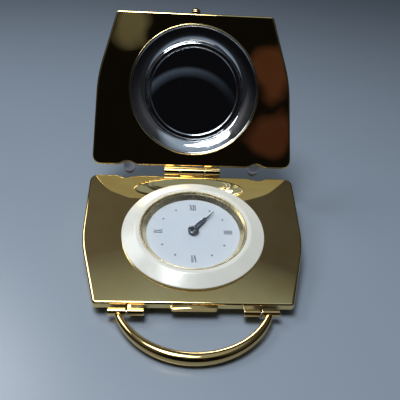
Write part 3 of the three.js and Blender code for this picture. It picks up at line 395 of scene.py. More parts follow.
def outline(inset, bottom_inset, dent):
    """The bag's outline round one half, from the middle of its bottom edge and back."""
    corner, tip = max(BOTTOM_CORNER - inset, 0.5), max(TOP_CORNER - inset, 0.15)
    low, top = bottom_inset, CASE_LENGTH - inset
    foot = Vector((BOTTOM_HALF_WIDTH - inset, low + corner))
    knee = Vector((SHOULDER_HALF_WIDTH - inset, SHOULDER_AT))
    head = Vector((TOP_HALF_WIDTH - inset, top))
    below, above = (knee - foot).normalized() * SHOULDER_BLEND, (head - knee).normalized()
    near, far, ease = FOOT_AT - DENT_HALF_WIDTH, FOOT_AT + DENT_HALF_WIDTH, DENT_HALF_WIDTH / 2
    right = [Vector((0, low))]
    right += curve(right[-1], (near, low), count=22)
    right += curve(right[-1], (near + ease, low), (FOOT_AT - ease, low + dent), (FOOT_AT, low + dent))
    right += curve(right[-1], (FOOT_AT + ease, low + dent), (far - ease, low), (far, low))
    right += curve(right[-1], (foot.x - corner, low), count=6)
    right += curve(right[-1], (foot.x, low), foot)
    right += curve(right[-1], knee - below, count=20)
    right += curve(right[-1], knee, knee + above * SHOULDER_BLEND)
    right += curve(right[-1], head - above * tip, count=16)
    right += curve(right[-1], head, (head.x - tip, top), count=5)
    right += curve(right[-1], (0, top), count=26)
    return right + [Vector((-p.x, p.y)) for p in reversed(right[1:-1])]


back_bend_at = CASE_LENGTH - BACK_BEND
back_line = [Vector((-1, DEPTH_BOTTOM + BACK_SLOPE)),
             Vector((FLAT_BACK, DEPTH_BOTTOM - BACK_SLOPE * FLAT_BACK))]
back_line += curve(back_line[1], (back_bend_at, DEPTH_BOTTOM - BACK_SLOPE * back_bend_at),
                   (CASE_LENGTH, DEPTH_TOP), count=16)


def back_depth(along):
    """Depth of the back below the face plate, that far from the bottom edge."""
    for a, b in zip(back_line, back_line[1:]):
        if along <= b.x:
            break
    return a.y + (b.y - a.y) * (along - a.x) / (b.x - a.x)


def level(points, depth_at):
    """An outline as points of the half's own frame, at a depth that may vary along the bag."""
    return [Vector((p.x, -HINGE_OFFSET - p.y, -depth_at(p.y))) for p in points]


def pan(inset, bottom_inset, dent, wall, top):
    """Rings down the sides, round the turn and in over the back to a line down its middle."""
    rings = [level(outline(inset, bottom_inset, dent), lambda along: top)]
    turn_in = max(BACK_EDGE_ROUND - inset, 0.5)
    steps = 10
    for i in range(steps + 1):
        angle = i / steps * math.pi / 2
        step = turn_in * (1 - math.cos(angle))
        share = STRAIGHT_WALL + (1 - STRAIGHT_WALL) * math.sin(angle)
        ring = outline(inset + step, bottom_inset + step, dent * (1 - i / steps))
        rings.append(level(ring, lambda along: top + (max(back_depth(along) - wall, top) - top) * share))
    middle, last = CASE_LENGTH / 2, ring
    inner_steps, shortening = 14, 0.6
    for i in range(1, inner_steps + 1):
        t = i / inner_steps
        narrow, short = 1 - t, 1 - shortening * t
        ring = [Vector((p.x * narrow, middle + (p.y - middle) * short)) for p in last]
        rings.append(level(ring, lambda along: max(back_depth(along) - wall, top)))
    return rings


def case_shell(wall):
    """An outer pan and an inner one, joined round the rim under the face plate."""
    top = PLATE_THICKNESS + SEAT_GAP
    outer = pan(0, 0, DENT_DEPTH, 0, top)
    inner = pan(wall, wall + DENT_DEPTH, 0, wall, top)
    points, faces = skin(list(reversed(inner)) + outer)
    return points, faces[:-2]


base_shell = build("base_case_shell", [case_shell(BASE_WALL)], base_frame, gilt)
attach(base_shell, "base")
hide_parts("base_shell")

lid_shell = build("lid_case_shell", [case_shell(LID_WALL)], lid_frame, gilt)
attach(lid_shell, "lid")
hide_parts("lid_shell")

# ---- Face plates ----------------------------------------------------------------------------
# Each half is closed by a flat polished plate with a softened edge, pressed into its shell.
# The lower plate is bored for the clock insert, the upper one for the mirror dish.

PLATE_EDGE_ROUND = 0.45
DIAL_AT = 18.1
INSERT_RADIUS = 11.1
DISH_RADIUS = 15.05
insert_centre = Vector((0, -HINGE_OFFSET - DIAL_AT, 0))


def face_plate(hole, hole_round, lip=0.0):
    """A plate with one round hole, whose edge may stand up as a fine half-round lip."""
    support = 0.03
    flat = level(outline(PLATE_EDGE_ROUND, PLATE_EDGE_ROUND, DENT_DEPTH), lambda along: 0)
    compass = [(p - insert_centre).normalized() for p in flat]

    def bore(radius, height):
        return [insert_centre + way * radius + Vector((0, 0, height)) for way in compass]

    rings = [bore(hole, -PLATE_THICKNESS)]
    rings.append(level(outline(0, 0, DENT_DEPTH), lambda along: PLATE_THICKNESS))
    steps = 6
    for i in range(steps, -1, -1):
        angle = i / steps * math.pi / 2
        inset = PLATE_EDGE_ROUND * (1 - math.sin(angle))
        depth = PLATE_EDGE_ROUND * (1 - math.cos(angle))
        rings.append(level(outline(inset, inset, DENT_DEPTH), lambda along: depth))
    inset = PLATE_EDGE_ROUND + support
    rings.append(level(outline(inset, inset, DENT_DEPTH), lambda along: 0))
    rings.append(bore(hole + 2 * hole_round + support, 0))
    lip_steps = 10
    for i in range(lip_steps + 1):
        angle = i / lip_steps * math.pi
        height = lip * math.sin(angle) if lip else -hole_round * (1 - math.cos(angle / 2))
        rings.append(bore(hole + hole_round * (1 + math.cos(angle)), height))
    return skin(rings, loop=True)


# Where each roll-off starts, which way it goes, and how fast it falls away.
ROLL_OFFS = ((0.8, 1, 2.3), (-15.5, -1, 0.55))


def buffed_plate_finish():
    """The same plating, where buffing has rolled the flat off towards the hinge and the front."""
    material, tree, shader, coords, relief = gilt_finish("gilt_buffed_plate")
    along = add_node(tree, "ShaderNodeSeparateXYZ", {"Vector": coords}).outputs["Y"]
    for start, way, rate in ROLL_OFFS:
        past = sums(tree, "SUBTRACT", along, start * MM)
        past = sums(tree, "MAXIMUM", sums(tree, "MULTIPLY", past, way), 0.0)
        drop = sums(tree, "MULTIPLY", sums(tree, "MULTIPLY", past, past), -rate / MM)
        relief = add_bump(tree, shader, drop, 1.0, before=relief)
    return material


buffed = buffed_plate_finish()
insert_bore = INSERT_RADIUS + SEAT_GAP
base_plate = build("base_polished_plate", [face_plate(insert_bore, 0.05)], base_frame, buffed)
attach(base_plate, "base")
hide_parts("base_face_plate")

dish_bore = DISH_RADIUS + SEAT_GAP
lid_plate = build("lid_polished_plate", [face_plate(dish_bore, 0.14, lip=0.14)], lid_frame, gilt)
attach(lid_plate, "lid")
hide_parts("lid_face_plate")

# ---- Hinge ----------------------------------------------------------------------------------
# Three knuckles on one steel pin. The middle one belongs to the lower half, the outer two to
# the lid, and each has a leaf soldered down its half's bottom wall.

KNUCKLE_RADIUS, KNUCKLE_GAP = 1.15, 0.12
BASE_KNUCKLE, LID_KNUCKLE = 5.7, 3.6
LEAF_THICKNESS, LEAF_DROP = 0.5, 3.2
HINGE_PIN_RADIUS, RUN_GAP = 0.45, 0.05


def rounded(corners, closed=True, segments=5):
    """The outline through corners (x, y, radius), each one turned on its own radius.

    A point just before and after each turn keeps the shading of the flats beside it flat.
    """
    hold = 0.02
    points = []
    for i, (x, y, radius) in enumerate(corners):
        at = Vector((x, y))
        if not radius or (not closed and i in (0, len(corners) - 1)):
            points.append(at)
            continue
        before = (Vector(corners[i - 1][:2]) - at).normalized()
        after = (Vector(corners[(i + 1) % len(corners)][:2]) - at).normalized()
        half = before.angle(after) / 2
        start, end = at + before * radius / math.tan(half), at + after * radius / math.tan(half)
        centre = at + (before + after).normalized() * radius / math.sin(half)
        sweep = (start - centre).angle_signed(end - centre)
        points.append(start + before * hold)
        for k in range(segments + 1):
            points.append(centre + Matrix.Rotation(-sweep * k / segments, 2) @ (start - centre))
        points.append(end + after * hold)
    return points


def turned(profile, steps=96):
    """Spun about Z from (radius, height) points: a ring if the profile keeps off the axis."""
    rings = []
    for radius, height in profile:
        angles = [2 * math.pi * i / steps for i in range(steps)]
        rings.append([Vector((radius * math.cos(a), radius * math.sin(a), height)) for a in angles])
    on_axis = profile[0][0] == 0 and profile[-1][0] == 0
    points, faces = skin(rings, loop=not on_axis)
    return points, faces[:-2] if on_axis else faces


ALONG_X = Matrix.Rotation(math.pi / 2, 4, "Y")


def rod(radius, start, end, soften=0.06, steps=48):
    """A round bar along X with softened ends."""
    corners = [(0, start, 0), (radius, start, soften), (radius, end, soften), (0, end, 0)]
    return moved(turned(rounded(corners, closed=False), steps), ALONG_X)


def barrel(radius, bore, start, end, soften=0.08, steps=64):
    """A bored round bar along X with softened ends."""
    corners = [(bore, start, 0), (radius, start, soften), (radius, end, soften), (bore, end, 0)]
    return moved(turned(rounded(corners), steps), ALONG_X)


def slab(points, low, high, soften=0.05):
    """An outline raised from low to high, with its upper and lower edges softened."""
    middle = sum((Vector(p) for p in points), Vector((0, 0))) / len(points)

    def ring(height, pull):
        made = []
        for p in points:
            way = Vector(p) - middle
            flat = middle + way * max(0.0, 1 - pull / max(way.length, pull, 1e-6))
            made.append(Vector((*flat, height)))
        return made

    rings = [ring(low, soften), ring(low + soften * 0.3, soften * 0.3), ring(low + soften, 0)]
    rings += [ring(high - soften, 0), ring(high - soften * 0.3, soften * 0.3), ring(high, soften)]
    return skin(rings)


def hinge_leaf(start, end, bore):
    """A knuckle and its leaf. The leaf is drawn lying flat and then stood against the wall."""
    knuckle = barrel(KNUCKLE_RADIUS, bore, start, end)
    face = -(HINGE_OFFSET - SEAT_GAP)
    corner = 0.35
    low = -LEAF_DROP
    flat = rounded([(start, 0, 0), (start, low, corner), (end, low, corner), (end, 0, 0)])
    stand = Matrix.Translation((0, face, 0)) @ Matrix.Rotation(math.pi / 2, 4, "X")
    leaf = moved(slab(flat, -LEAF_THICKNESS, 0), stand)
    return [knuckle, leaf]


# The small fittings get a darker, warmer copy of the plating: painted shade standing in for the deeper
# reflections their curved gold shows. It is a little duller too.
SHADE_DARKENED_GOLD, SHADE_DARKENED_DEEP = (0.84, 0.60, 0.26), (0.77, 0.52, 0.20)
shade_darkened_gilt = gilt_finish("gilt_painted_darker_for_shade", SHADE_DARKENED_GOLD, SHADE_DARKENED_DEEP, dull=(0.03, 0.09))[0]
middle_leaf = hinge_leaf(-BASE_KNUCKLE / 2, BASE_KNUCKLE / 2, HINGE_PIN_RADIUS + SEAT_GAP)
base_leaf = build("hinge_middle_leaf", middle_leaf, hinge_frame, shade_darkened_gilt)
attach(base_leaf, "base")
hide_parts("base_hinge_leaf")

knuckle_start = BASE_KNUCKLE / 2 + KNUCKLE_GAP
knuckle_end = knuckle_start + LID_KNUCKLE
outer_leaves = (("left", knuckle_start, knuckle_end), ("right", -knuckle_end, -knuckle_start))
for side, start, end in outer_leaves:
    leaf_shapes = hinge_leaf(start, end, HINGE_PIN_RADIUS + RUN_GAP)
    leaf = build(f"hinge_{side}_leaf", leaf_shapes, lid_hinge_frame, shade_darkened_gilt)
    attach(leaf, "lid")
    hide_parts(f"lid_hinge_leaf_{side}")


def steel_finish():
    """Turned steel: fine rings of tool marks and a thin film of oil."""
    material, tree, shader = new_finish("turned_steel", (0.60, 0.61, 0.63), metallic=1.0, roughness=0.25)
    coords = add_node(tree, "ShaderNodeTexCoord").outputs["Object"]
    marks = noise(tree, coords, 0.12, 4, stretch=(6, 1, 1))
    tree.links.new(between(tree, noise(tree, coords, 1.2), 0.18, 0.34), shader.inputs["Roughness"])
    tone = blend_colours(tree, noise(tree, coords, 3), (0.55, 0.56, 0.58), (0.66, 0.66, 0.67))
    tree.links.new(tone, shader.inputs["Base Color"])
    add_bump(tree, shader, marks, 0.002)
    return material


steel = steel_finish()
pin_rod = rod(HINGE_PIN_RADIUS, -knuckle_end, knuckle_end, soften=0.12)
hinge_pin = build("hinge_steel_pin", [pin_rod], hinge_frame, steel)
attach(hinge_pin, "base")
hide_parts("hinge_pin")

# ---- Feet -----------------------------------------------------------------------------------
# Four clear domed bumpers of soft vinyl, two on the bottom wall of each half, each stuck in a
# shallow dent. The bag stands on them when it is shut.

FOOT_RADIUS, FOOT_LENGTH, FOOT_DEPTH = 1.45, 2.8, 5.5


def clear_vinyl_finish():
    """Clear soft vinyl, faintly rosy, with a slightly orange-peeled skin."""
    material, tree, shader = new_finish("clear_vinyl", (0.86, 0.84, 0.87), roughness=0.12)
    shader.inputs["Transmission Weight"].default_value = 0.85
    shader.inputs["IOR"].default_value = 1.43
    coords = add_node(tree, "ShaderNodeTexCoord").outputs["Object"]
    tone = blend_colours(tree, noise(tree, coords, 1.5), (0.90, 0.88, 0.91), (0.78, 0.74, 0.78))
    tree.links.new(tone, shader.inputs["Base Color"])
    add_bump(tree, shader, noise(tree, coords, 0.35, 2), 0.01)
    return material


def domed_foot():
    """A short collar that rounds over into a dome."""
    collar = FOOT_LENGTH * 0.35
    profile = [(0, SEAT_GAP), (FOOT_RADIUS, SEAT_GAP), (FOOT_RADIUS, SEAT_GAP + 0.1)]
    steps = 14
    for i in range(steps + 1):
        angle = i / steps * math.pi / 2
        height = collar + (FOOT_LENGTH - collar) * math.sin(angle)
        profile.append((FOOT_RADIUS * math.cos(angle), height))
    profile[-1] = (0, FOOT_LENGTH)
    return moved(turned(profile, 48), Matrix.Rotation(-math.pi / 2, 4, "X"))


clear_vinyl = clear_vinyl_finish()
foot_places = (
    ("base", base_frame, "left", -1),
    ("base", base_frame, "right", 1),
    ("lid", lid_frame, "left", 1),
    ("lid", lid_frame, "right", -1),
)
for half, half_frame, side, place in foot_places:
    seat = Matrix.Translation((place * FOOT_AT, -(HINGE_OFFSET + DENT_DEPTH), -FOOT_DEPTH))
    foot = build(f"{half}_clear_foot_{side}", [domed_foot()], half_frame @ seat, clear_vinyl)
    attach(foot, half)
    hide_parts(f"{half}_foot_{side}")

# ---- Catch ----------------------------------------------------------------------------------
# A small round knob soldered to the middle of the lid's top edge snaps over a thin tab on the
# lower half's.

CATCH_HALF_WIDTH, CATCH_REACH = 4.3, 0.9
CATCH_LOW, CATCH_HIGH, CATCH_CORNER = -1.1, -0.35, 0.45
KNOB_RADIUS, KNOB_REACH, KNOB_DROP = 1.1, 0.4, 1.3
top_edge = -(HINGE_OFFSET + CASE_LENGTH)

tab_outline = rounded([
    (CATCH_HALF_WIDTH, top_edge - SEAT_GAP, 0),
    (-CATCH_HALF_WIDTH, top_edge - SEAT_GAP, 0),
    (-CATCH_HALF_WIDTH, top_edge - CATCH_REACH, CATCH_CORNER),
    (CATCH_HALF_WIDTH, top_edge - CATCH_REACH, CATCH_CORNER),
])
tab_slab = slab(tab_outline, CATCH_LOW, CATCH_HIGH, soften=0.12)
tab = build("catch_front_tab", [tab_slab], base_frame, shade_darkened_gilt)
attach(tab, "base")
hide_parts("catch_tab")


def clasp_ball():
    """A ball cut flat where it meets the edge, with a turned groove round its waist."""
    flat = KNOB_REACH - SEAT_GAP
    groove_depth, groove_at, groove_width = 0.10, -0.25, 0.12      # mm, and two angles in radians
    steps = 28
    first = math.asin(flat / KNOB_RADIUS)
    profile = [(0, flat)]
    for i in range(steps + 1):
        angle = first - i / steps * (first + math.pi / 2)
        groove = groove_depth * math.exp(-((angle - groove_at) / groove_width) ** 2)
        out = KNOB_RADIUS - groove
        profile.append((out * math.cos(angle), out * math.sin(angle)))
    profile[-1] = (0, -KNOB_RADIUS)
    return moved(turned(profile, 48), Matrix.Rotation(-math.pi / 2, 4, "X"))


knob_seat = Matrix.Translation((0, top_edge - KNOB_REACH, -KNOB_DROP))
knob = build("clasp_ball_knob", [clasp_ball()], lid_frame @ knob_seat, shade_darkened_gilt)
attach(knob, "lid")
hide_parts("clasp_knob")

# ---- Handle ---------------------------------------------------------------------------------
# A bow of gilt wire that swells towards its middle, with a bored eye at each end. Each eye is
# pinned to a short lug soldered to the lower half's front edge.

HANDLE_SPAN, HANDLE_REACH = 27.8, 9.4
HANDLE_END_RADIUS, HANDLE_MIDDLE_RADIUS = 0.62, 1.15
EYE_RADIUS, EYE_LENGTH = 0.68, 3.3
LUG_LENGTH, LUG_GAP, LUG_REACH, LUG_TAB_HALF = 3.0, 0.25, 1.3, 0.4
HANDLE_PIN_RADIUS = 0.3
EYES_AT = Vector(joints["handle_swing"]["pos_m"])
bow_slope = math.asin((EYES_AT.z / MM - HANDLE_MIDDLE_RADIUS) / HANDLE_REACH)
handle_frame = Matrix.Translation(EYES_AT) @ Matrix.Rotation(bow_slope, 4, "X") @ to_metres
lug_frame = Matrix.Translation(EYES_AT) @ Matrix.Rotation(TILT, 4, "X") @ to_metres
eye_middle = HANDLE_SPAN / 2
lug_outer = eye_middle - EYE_LENGTH / 2 - LUG_GAP


def handle_bow():
    """A round bar bent to part of a circle, thickest at its middle, narrowing into each eye's wall."""
    bow_radius = (eye_middle ** 2 + HANDLE_REACH ** 2) / (2 * HANDLE_REACH)
    short_of_axis, narrowing, narrowing_steps = 0.5, 0.35, 1.5
    sweep = math.asin(eye_middle / bow_radius) - short_of_axis / bow_radius
    steps, sides = 96, 28
    rings = []
    for i in range(steps + 1):
        share = 2 * i / steps - 1
        angle = share * sweep
        swell = math.cos(share * math.pi / 2)
        thick = HANDLE_END_RADIUS + (HANDLE_MIDDLE_RADIUS - HANDLE_END_RADIUS) * swell
        from_end = min(i, steps - i)
        thick *= 1 - narrowing * max(0.0, 1 - from_end / narrowing_steps)
        ring = []
        for k in range(sides):
            around = 2 * math.pi * k / sides
            out = bow_radius + thick * math.cos(around)
            height = bow_radius - HANDLE_REACH - out * math.cos(angle)
            ring.append(Vector((out * math.sin(angle), height, thick * math.sin(around))))
        rings.append(ring)
    return skin(rings)


eye_bore = HANDLE_PIN_RADIUS + RUN_GAP
eye_ends = [(middle - EYE_LENGTH / 2, middle + EYE_LENGTH / 2) for middle in (-eye_middle, eye_middle)]
eyes = [barrel(EYE_RADIUS, eye_bore, start, end, soften=0.12) for start, end in eye_ends]
bail = build("handle_wire_bow", [handle_bow(), *eyes], handle_frame, shade_darkened_gilt)
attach(bail, "handle")
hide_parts("handle_bail")

lug_inner = lug_outer - LUG_LENGTH
TAB_START = 0.45                         # in the barrel's wall, clear of its bore
tab_end = LUG_REACH - SEAT_GAP
lug_tab = [(lug_inner, TAB_START), (lug_outer, TAB_START), (lug_outer, tab_end), (lug_inner, tab_end)]
for side, turn in (("right", 0), ("left", math.pi)):
    facing = Matrix.Rotation(turn, 4, "Y")
    lug_shapes = [
        barrel(EYE_RADIUS, HANDLE_PIN_RADIUS + SEAT_GAP, lug_inner, lug_outer, soften=0.12),
        slab(lug_tab, -LUG_TAB_HALF, LUG_TAB_HALF),
    ]
    lug = build(f"handle_gilt_lug_{side}", lug_shapes, lug_frame @ facing, shade_darkened_gilt)
    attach(lug, "base")
    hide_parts(f"handle_lug_{side}")
    pin_shape = rod(HANDLE_PIN_RADIUS, lug_inner, eye_middle + EYE_LENGTH / 2, soften=0.1)
    pin = build(f"handle_steel_pin_{side}", [pin_shape], lug_frame @ facing, steel)
    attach(pin, "base")
    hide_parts(f"handle_pin_{side}")

# ---- Bezel ring -----------------------------------------------------------------------------
# A glossy cream moulding round the dial. It rises from a thin outer edge to a crest beside the
# dial's gilt wall, and is glued to the lower plate.

BEZEL_RADIUS = 14.8
BEZEL_EDGE, BEZEL_CREST, BEZEL_CREST_WIDTH = 0.5, 1.6, 0.85


def cream_finish():
    """Cream moulding with a wet gloss, very slightly uneven in tone and surface."""
    material, tree, shader = new_finish("cream_moulding", (0.80, 0.79, 0.72), roughness=0.22)
    shader.inputs["Coat Weight"].default_value = 0.4
    shader.inputs["Coat Roughness"].default_value = 0.16
    coords = add_node(tree, "ShaderNodeTexCoord").outputs["Object"]
    cloudy = between(tree, noise(tree, coords, 5), 0, 1)
    tone = blend_colours(tree, cloudy, (0.82, 0.81, 0.74), (0.77, 0.77, 0.71))
    tree.links.new(tone, shader.inputs["Base Color"])
    tree.links.new(between(tree, noise(tree, coords, 1.1, 4), 0.16, 0.27), shader.inputs["Roughness"])
    add_bump(tree, shader, noise(tree, coords, 2.2, 2), 0.012)
    return material


cream = cream_finish()
insert_frame = base_frame @ Matrix.Translation(insert_centre)
bezel_profile = rounded([
    (insert_bore, SEAT_GAP, 0),
    (BEZEL_RADIUS, SEAT_GAP, 0.05),
    (BEZEL_RADIUS, BEZEL_EDGE, 0.14),
    (insert_bore + BEZEL_CREST_WIDTH, BEZEL_CREST, 0.9),
    (insert_bore, BEZEL_CREST, 0.12),
], segments=8)
bezel = build("cream_bezel_ring", [turned(bezel_profile, 192)], insert_frame, cream)
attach(bezel, "base")
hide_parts("bezel_ring")

# ---- Dial surround and crystal --------------------------------------------------------------
# A gilt funnel leads down from the bezel's crest to the dial. A flat mineral crystal drops in
# the seat at its mouth.

SURROUND_TOP, SURROUND_RIM, SURROUND_LIP = 1.66, 0.22, 9.75
CRYSTAL_SEAT, CRYSTAL_SEAT_WIDTH, CRYSTAL_THICKNESS = 1.1, 0.35, 0.45
CUP_TOP = -0.53
DIAL_TOP, DIAL_RADIUS = 0.1, 10.45
seat_radius = INSERT_RADIUS - SURROUND_RIM

surround_profile = rounded([
    (INSERT_RADIUS, CUP_TOP + SEAT_GAP, 0),
    (INSERT_RADIUS, SURROUND_TOP, 0.08),
    (seat_radius, SURROUND_TOP, 0.05),
    (seat_radius, CRYSTAL_SEAT, 0.02),
    (seat_radius - CRYSTAL_SEAT_WIDTH, CRYSTAL_SEAT, 0.05),
    (SURROUND_LIP, DIAL_TOP + SEAT_GAP, 0),
    (DIAL_RADIUS + SEAT_GAP, DIAL_TOP + SEAT_GAP, 0),
    (DIAL_RADIUS + SEAT_GAP, CUP_TOP + SEAT_GAP, 0),
])
SATIN_GOLD, SATIN_DEEP = (0.92, 0.79, 0.52), (0.88, 0.73, 0.45)
satin_gilt = gilt_finish("gilt_satin", SATIN_GOLD, SATIN_DEEP, dull=(0.22, 0.30))[0]
surround = build("dial_gilt_surround", [turned(surround_profile, 192)], insert_frame, satin_gilt)
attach(surround, "base")
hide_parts("dial_surround")


def crystal_finish():
    """Clear mineral glass: it lets light straight through and shines by its angle."""
    material = bpy.data.materials.new("crystal_glass")
    material.use_nodes = True
    tree = material.node_tree
    tree.nodes.remove(tree.nodes["Principled BSDF"])
    coords = add_node(tree, "ShaderNodeTexCoord").outputs["Object"]
    smear = noise(tree, coords, 3, 4, stretch=(1, 0.4, 1))
    tint = blend_colours(tree, smear, (0.97, 0.98, 0.985), (0.94, 0.955, 0.965))
    clear = add_node(tree, "ShaderNodeBsdfTransparent", {"Color": tint})
    shine = add_node(tree, "ShaderNodeBsdfGlossy")
    tree.links.new(between(tree, smear, 0.01, 0.06), shine.inputs["Roughness"])
    slant = add_node(tree, "ShaderNodeLayerWeight", {"Blend": 0.5}).outputs["Facing"]
    shine_share = between(tree, sums(tree, "POWER", slant, 5.0), 0.04, 1, 0, 1)
    mix = add_node(tree, "ShaderNodeMixShader",
                   {0: shine_share, 1: clear.outputs[0], 2: shine.outputs[0]})
    tree.links.new(mix.outputs[0], tree.nodes["Material Output"].inputs["Surface"])
    return material


crystal_low = CRYSTAL_SEAT + SEAT_GAP
crystal_radius = seat_radius - SEAT_GAP
crystal_profile = rounded([
    (0, crystal_low, 0),
    (crystal_radius, crystal_low, 0.05),
    (crystal_radius, crystal_low + CRYSTAL_THICKNESS, 0.1),
    (0, crystal_low + CRYSTAL_THICKNESS, 0),
], closed=False)
crystal = build("dial_flat_crystal", [turned(crystal_profile, 128)], insert_frame, crystal_finish())
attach(crystal, "base")
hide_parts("crystal")

# ---- Dial -----------------------------------------------------------------------------------
# A thin disc in blue-white lacquer. Four roman figures stand on it with their feet to the
# middle, and a dot marks each of the other hours, all in thin grey print.

DIAL_THICKNESS, HOUR_PIPE_RADIUS = 0.25, 0.68
dial_hole = HOUR_PIPE_RADIUS + RUN_GAP


def dial_finish():
    """Satin lacquer with a very fine grain."""
    material, tree, shader = new_finish("dial_lacquer", (0.79, 0.83, 0.89), roughness=0.45)
    coords = add_node(tree, "ShaderNodeTexCoord").outputs["Object"]
    tone = blend_colours(tree, noise(tree, coords, 4), (0.80, 0.84, 0.90), (0.77, 0.81, 0.88))
    tree.links.new(tone, shader.inputs["Base Color"])
    tree.links.new(between(tree, noise(tree, coords, 0.5), 0.38, 0.52), shader.inputs["Roughness"])
    add_bump(tree, shader, noise(tree, coords, 0.06, 2), 0.0008)
    return material


dial_profile = rounded([
    (dial_hole, DIAL_TOP - DIAL_THICKNESS, 0),
    (DIAL_RADIUS, DIAL_TOP - DIAL_THICKNESS, 0),
    (DIAL_RADIUS, DIAL_TOP, 0.04),
    (dial_hole, DIAL_TOP, 0.04),
])
dial = build("dial_white_disc", [turned(dial_profile, 128)], insert_frame, dial_finish())
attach(dial, "base")
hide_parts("dial")

FIGURE_FOOT, FIGURE_HEIGHT = 6.4, 1.75
THICK_STROKE, THIN_STROKE = 0.22, 0.10
SERIF_HALF, SERIF_HEIGHT = 0.16, 0.05
PRINT_HEIGHT = 0.012
STROKES = {                         # foot and head of each stroke, and its width
    "I": (0.40, ((0.0, 0.0, THICK_STROKE),)),
    "V": (0.62, ((0.0, -0.27, THICK_STROKE), (0.0, 0.27, THIN_STROKE))),
    "X": (0.62, ((0.27, -0.27, THICK_STROKE), (-0.27, 0.27, THIN_STROKE))),
}


def figure(text):
    """The strokes and serifs of one roman figure, upright and centred on X."""
    shapes = []
    x = -sum(STROKES[letter][0] for letter in text) / 2
    for letter in text:
        advance, strokes = STROKES[letter]
        x += advance / 2
        for foot, head, width in strokes:
            left, right = x - width / 2, x + width / 2
            shapes.append([(left + foot, 0), (right + foot, 0),
                           (right + head, FIGURE_HEIGHT), (left + head, FIGURE_HEIGHT)])
            for end, low in ((foot, 0), (head, FIGURE_HEIGHT - SERIF_HEIGHT)):
                left, right, high = x + end - SERIF_HALF, x + end + SERIF_HALF, low + SERIF_HEIGHT
                shapes.append([(left, low), (right, low), (right, high), (left, high)])
        x += advance / 2
    top = DIAL_TOP + PRINT_HEIGHT
    return [slab(points, DIAL_TOP, top, soften=PRINT_HEIGHT / 3) for points in shapes]


def print_finish():
    """Blue-grey pad print, a little thin in places."""
    material, tree, shader = new_finish("dial_print", (0.13, 0.15, 0.19), roughness=0.5)
    coords = add_node(tree, "ShaderNodeTexCoord").outputs["Object"]
    tone = blend_colours(tree, noise(tree, coords, 0.15), (0.07, 0.085, 0.115), (0.17, 0.19, 0.23))
    tree.links.new(tone, shader.inputs["Base Color"])
    add_bump(tree, shader, noise(tree, coords, 0.05), 0.001)
    return material


print_ink = print_finish()
figure_shapes = []
for quarter, text in enumerate(("XII", "III", "VI", "IX")):
    stand = Matrix.Rotation(-quarter * math.pi / 2, 4, "Z") @ Matrix.Translation((0, FIGURE_FOOT, 0))
    figure_shapes += [moved(shape, stand) for shape in figure(text)]
figures = build("dial_roman_figures", figure_shapes, insert_frame, print_ink)
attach(figures, "base")

HOUR_DOT_RING, HOUR_DOT_RADIUS = 7.3, 0.21


def hour_dots_tree():
    """Dots on a ring at the twelve hours, but none at the four quarters."""
    tree = bpy.data.node_groups.new("hour_dots", "GeometryNodeTree")
    for name in ("Ring radius", "Dot radius", "Dot height"):
        tree.interface.new_socket(name, in_out="INPUT", socket_type="NodeSocketFloat")
    tree.interface.new_socket("Ink", in_out="INPUT", socket_type="NodeSocketMaterial")
    tree.interface.new_socket("Geometry", in_out="OUTPUT", socket_type="NodeSocketGeometry")
    given = add_node(tree, "NodeGroupInput").outputs
    ring = add_node(tree, "GeometryNodeMeshCircle", {"Vertices": 12, "Radius": given["Ring radius"]})
    hour = add_node(tree, "GeometryNodeInputIndex").outputs["Index"]
    past_quarter = sums(tree, "MODULO", hour, 3.0)
    between_quarters = add_node(tree, "FunctionNodeCompare", {2: past_quarter},
                                data_type="INT", operation="NOT_EQUAL").outputs["Result"]
    dot = add_node(tree, "GeometryNodeMeshCylinder", {
        "Vertices": 24, "Radius": given["Dot radius"], "Depth": given["Dot height"],
    })
    dots = add_node(tree, "GeometryNodeInstanceOnPoints", {
        "Points": ring.outputs["Mesh"],
        "Selection": between_quarters,
        "Instance": dot.outputs["Mesh"],
    })
    real = add_node(tree, "GeometryNodeRealizeInstances", {"Geometry": dots.outputs["Instances"]})
    inked = add_node(tree, "GeometryNodeSetMaterial", {
        "Geometry": real.outputs["Geometry"], "Material": given["Ink"],
    })
    add_node(tree, "NodeGroupOutput", {"Geometry": inked.outputs["Geometry"]})
    return tree


def grown(name, tree, sizes, where):
    """Runs a geometry node tree with those named inputs and keeps the result as a plain mesh."""
    host = bpy.data.objects.new(name, bpy.data.meshes.new(name))
    bpy.context.scene.collection.objects.link(host)
    modifier = host.modifiers.new(name, "NODES")
    modifier.node_group = tree
    for item in tree.interface.items_tree:
        if item.in_out == "INPUT":
            modifier[item.identifier] = sizes[item.name]
    bpy.context.view_layer.update()
    evaluated = host.evaluated_get(bpy.context.evaluated_depsgraph_get())
    mesh = bpy.data.meshes.new_from_object(evaluated)
    host.modifiers.remove(modifier)
    host.data = mesh
    mesh.transform(where)
    return host


on_dial = Matrix.Translation((0, 0, DIAL_TOP + PRINT_HEIGHT / 2))
dots = grown("dial_hour_dots", hour_dots_tree(), {
    "Ring radius": HOUR_DOT_RING,
    "Dot radius": HOUR_DOT_RADIUS,
    "Dot height": PRINT_HEIGHT,
    "Ink": print_ink,
}, insert_frame @ on_dial)
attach(dots, "base")

# ---- Hands ----------------------------------------------------------------------------------
# Dark lacquered steel. The broad hour hand sits on the hour wheel's pipe, and the slim minute
# hand above it has a large round cap that hides the arbor.

HOUR_HAND_LENGTH, HOUR_HAND_LOW, HOUR_HAND_HIGH = 4.9, 0.3, 0.46
MINUTE_HAND_LENGTH, MINUTE_HAND_LOW, MINUTE_HAND_HIGH = 7.1, 0.64, 0.78
HOUR_ANGLE, MINUTE_ANGLE = math.radians(33.3), math.radians(39.6)
HUB_RADIUS, HUB_BORE_TOP, HUB_TOP, CANNON_RADIUS = 1.15, 0.86, 1.02, 0.45
HOUR_COLLET_RADIUS = 1.05


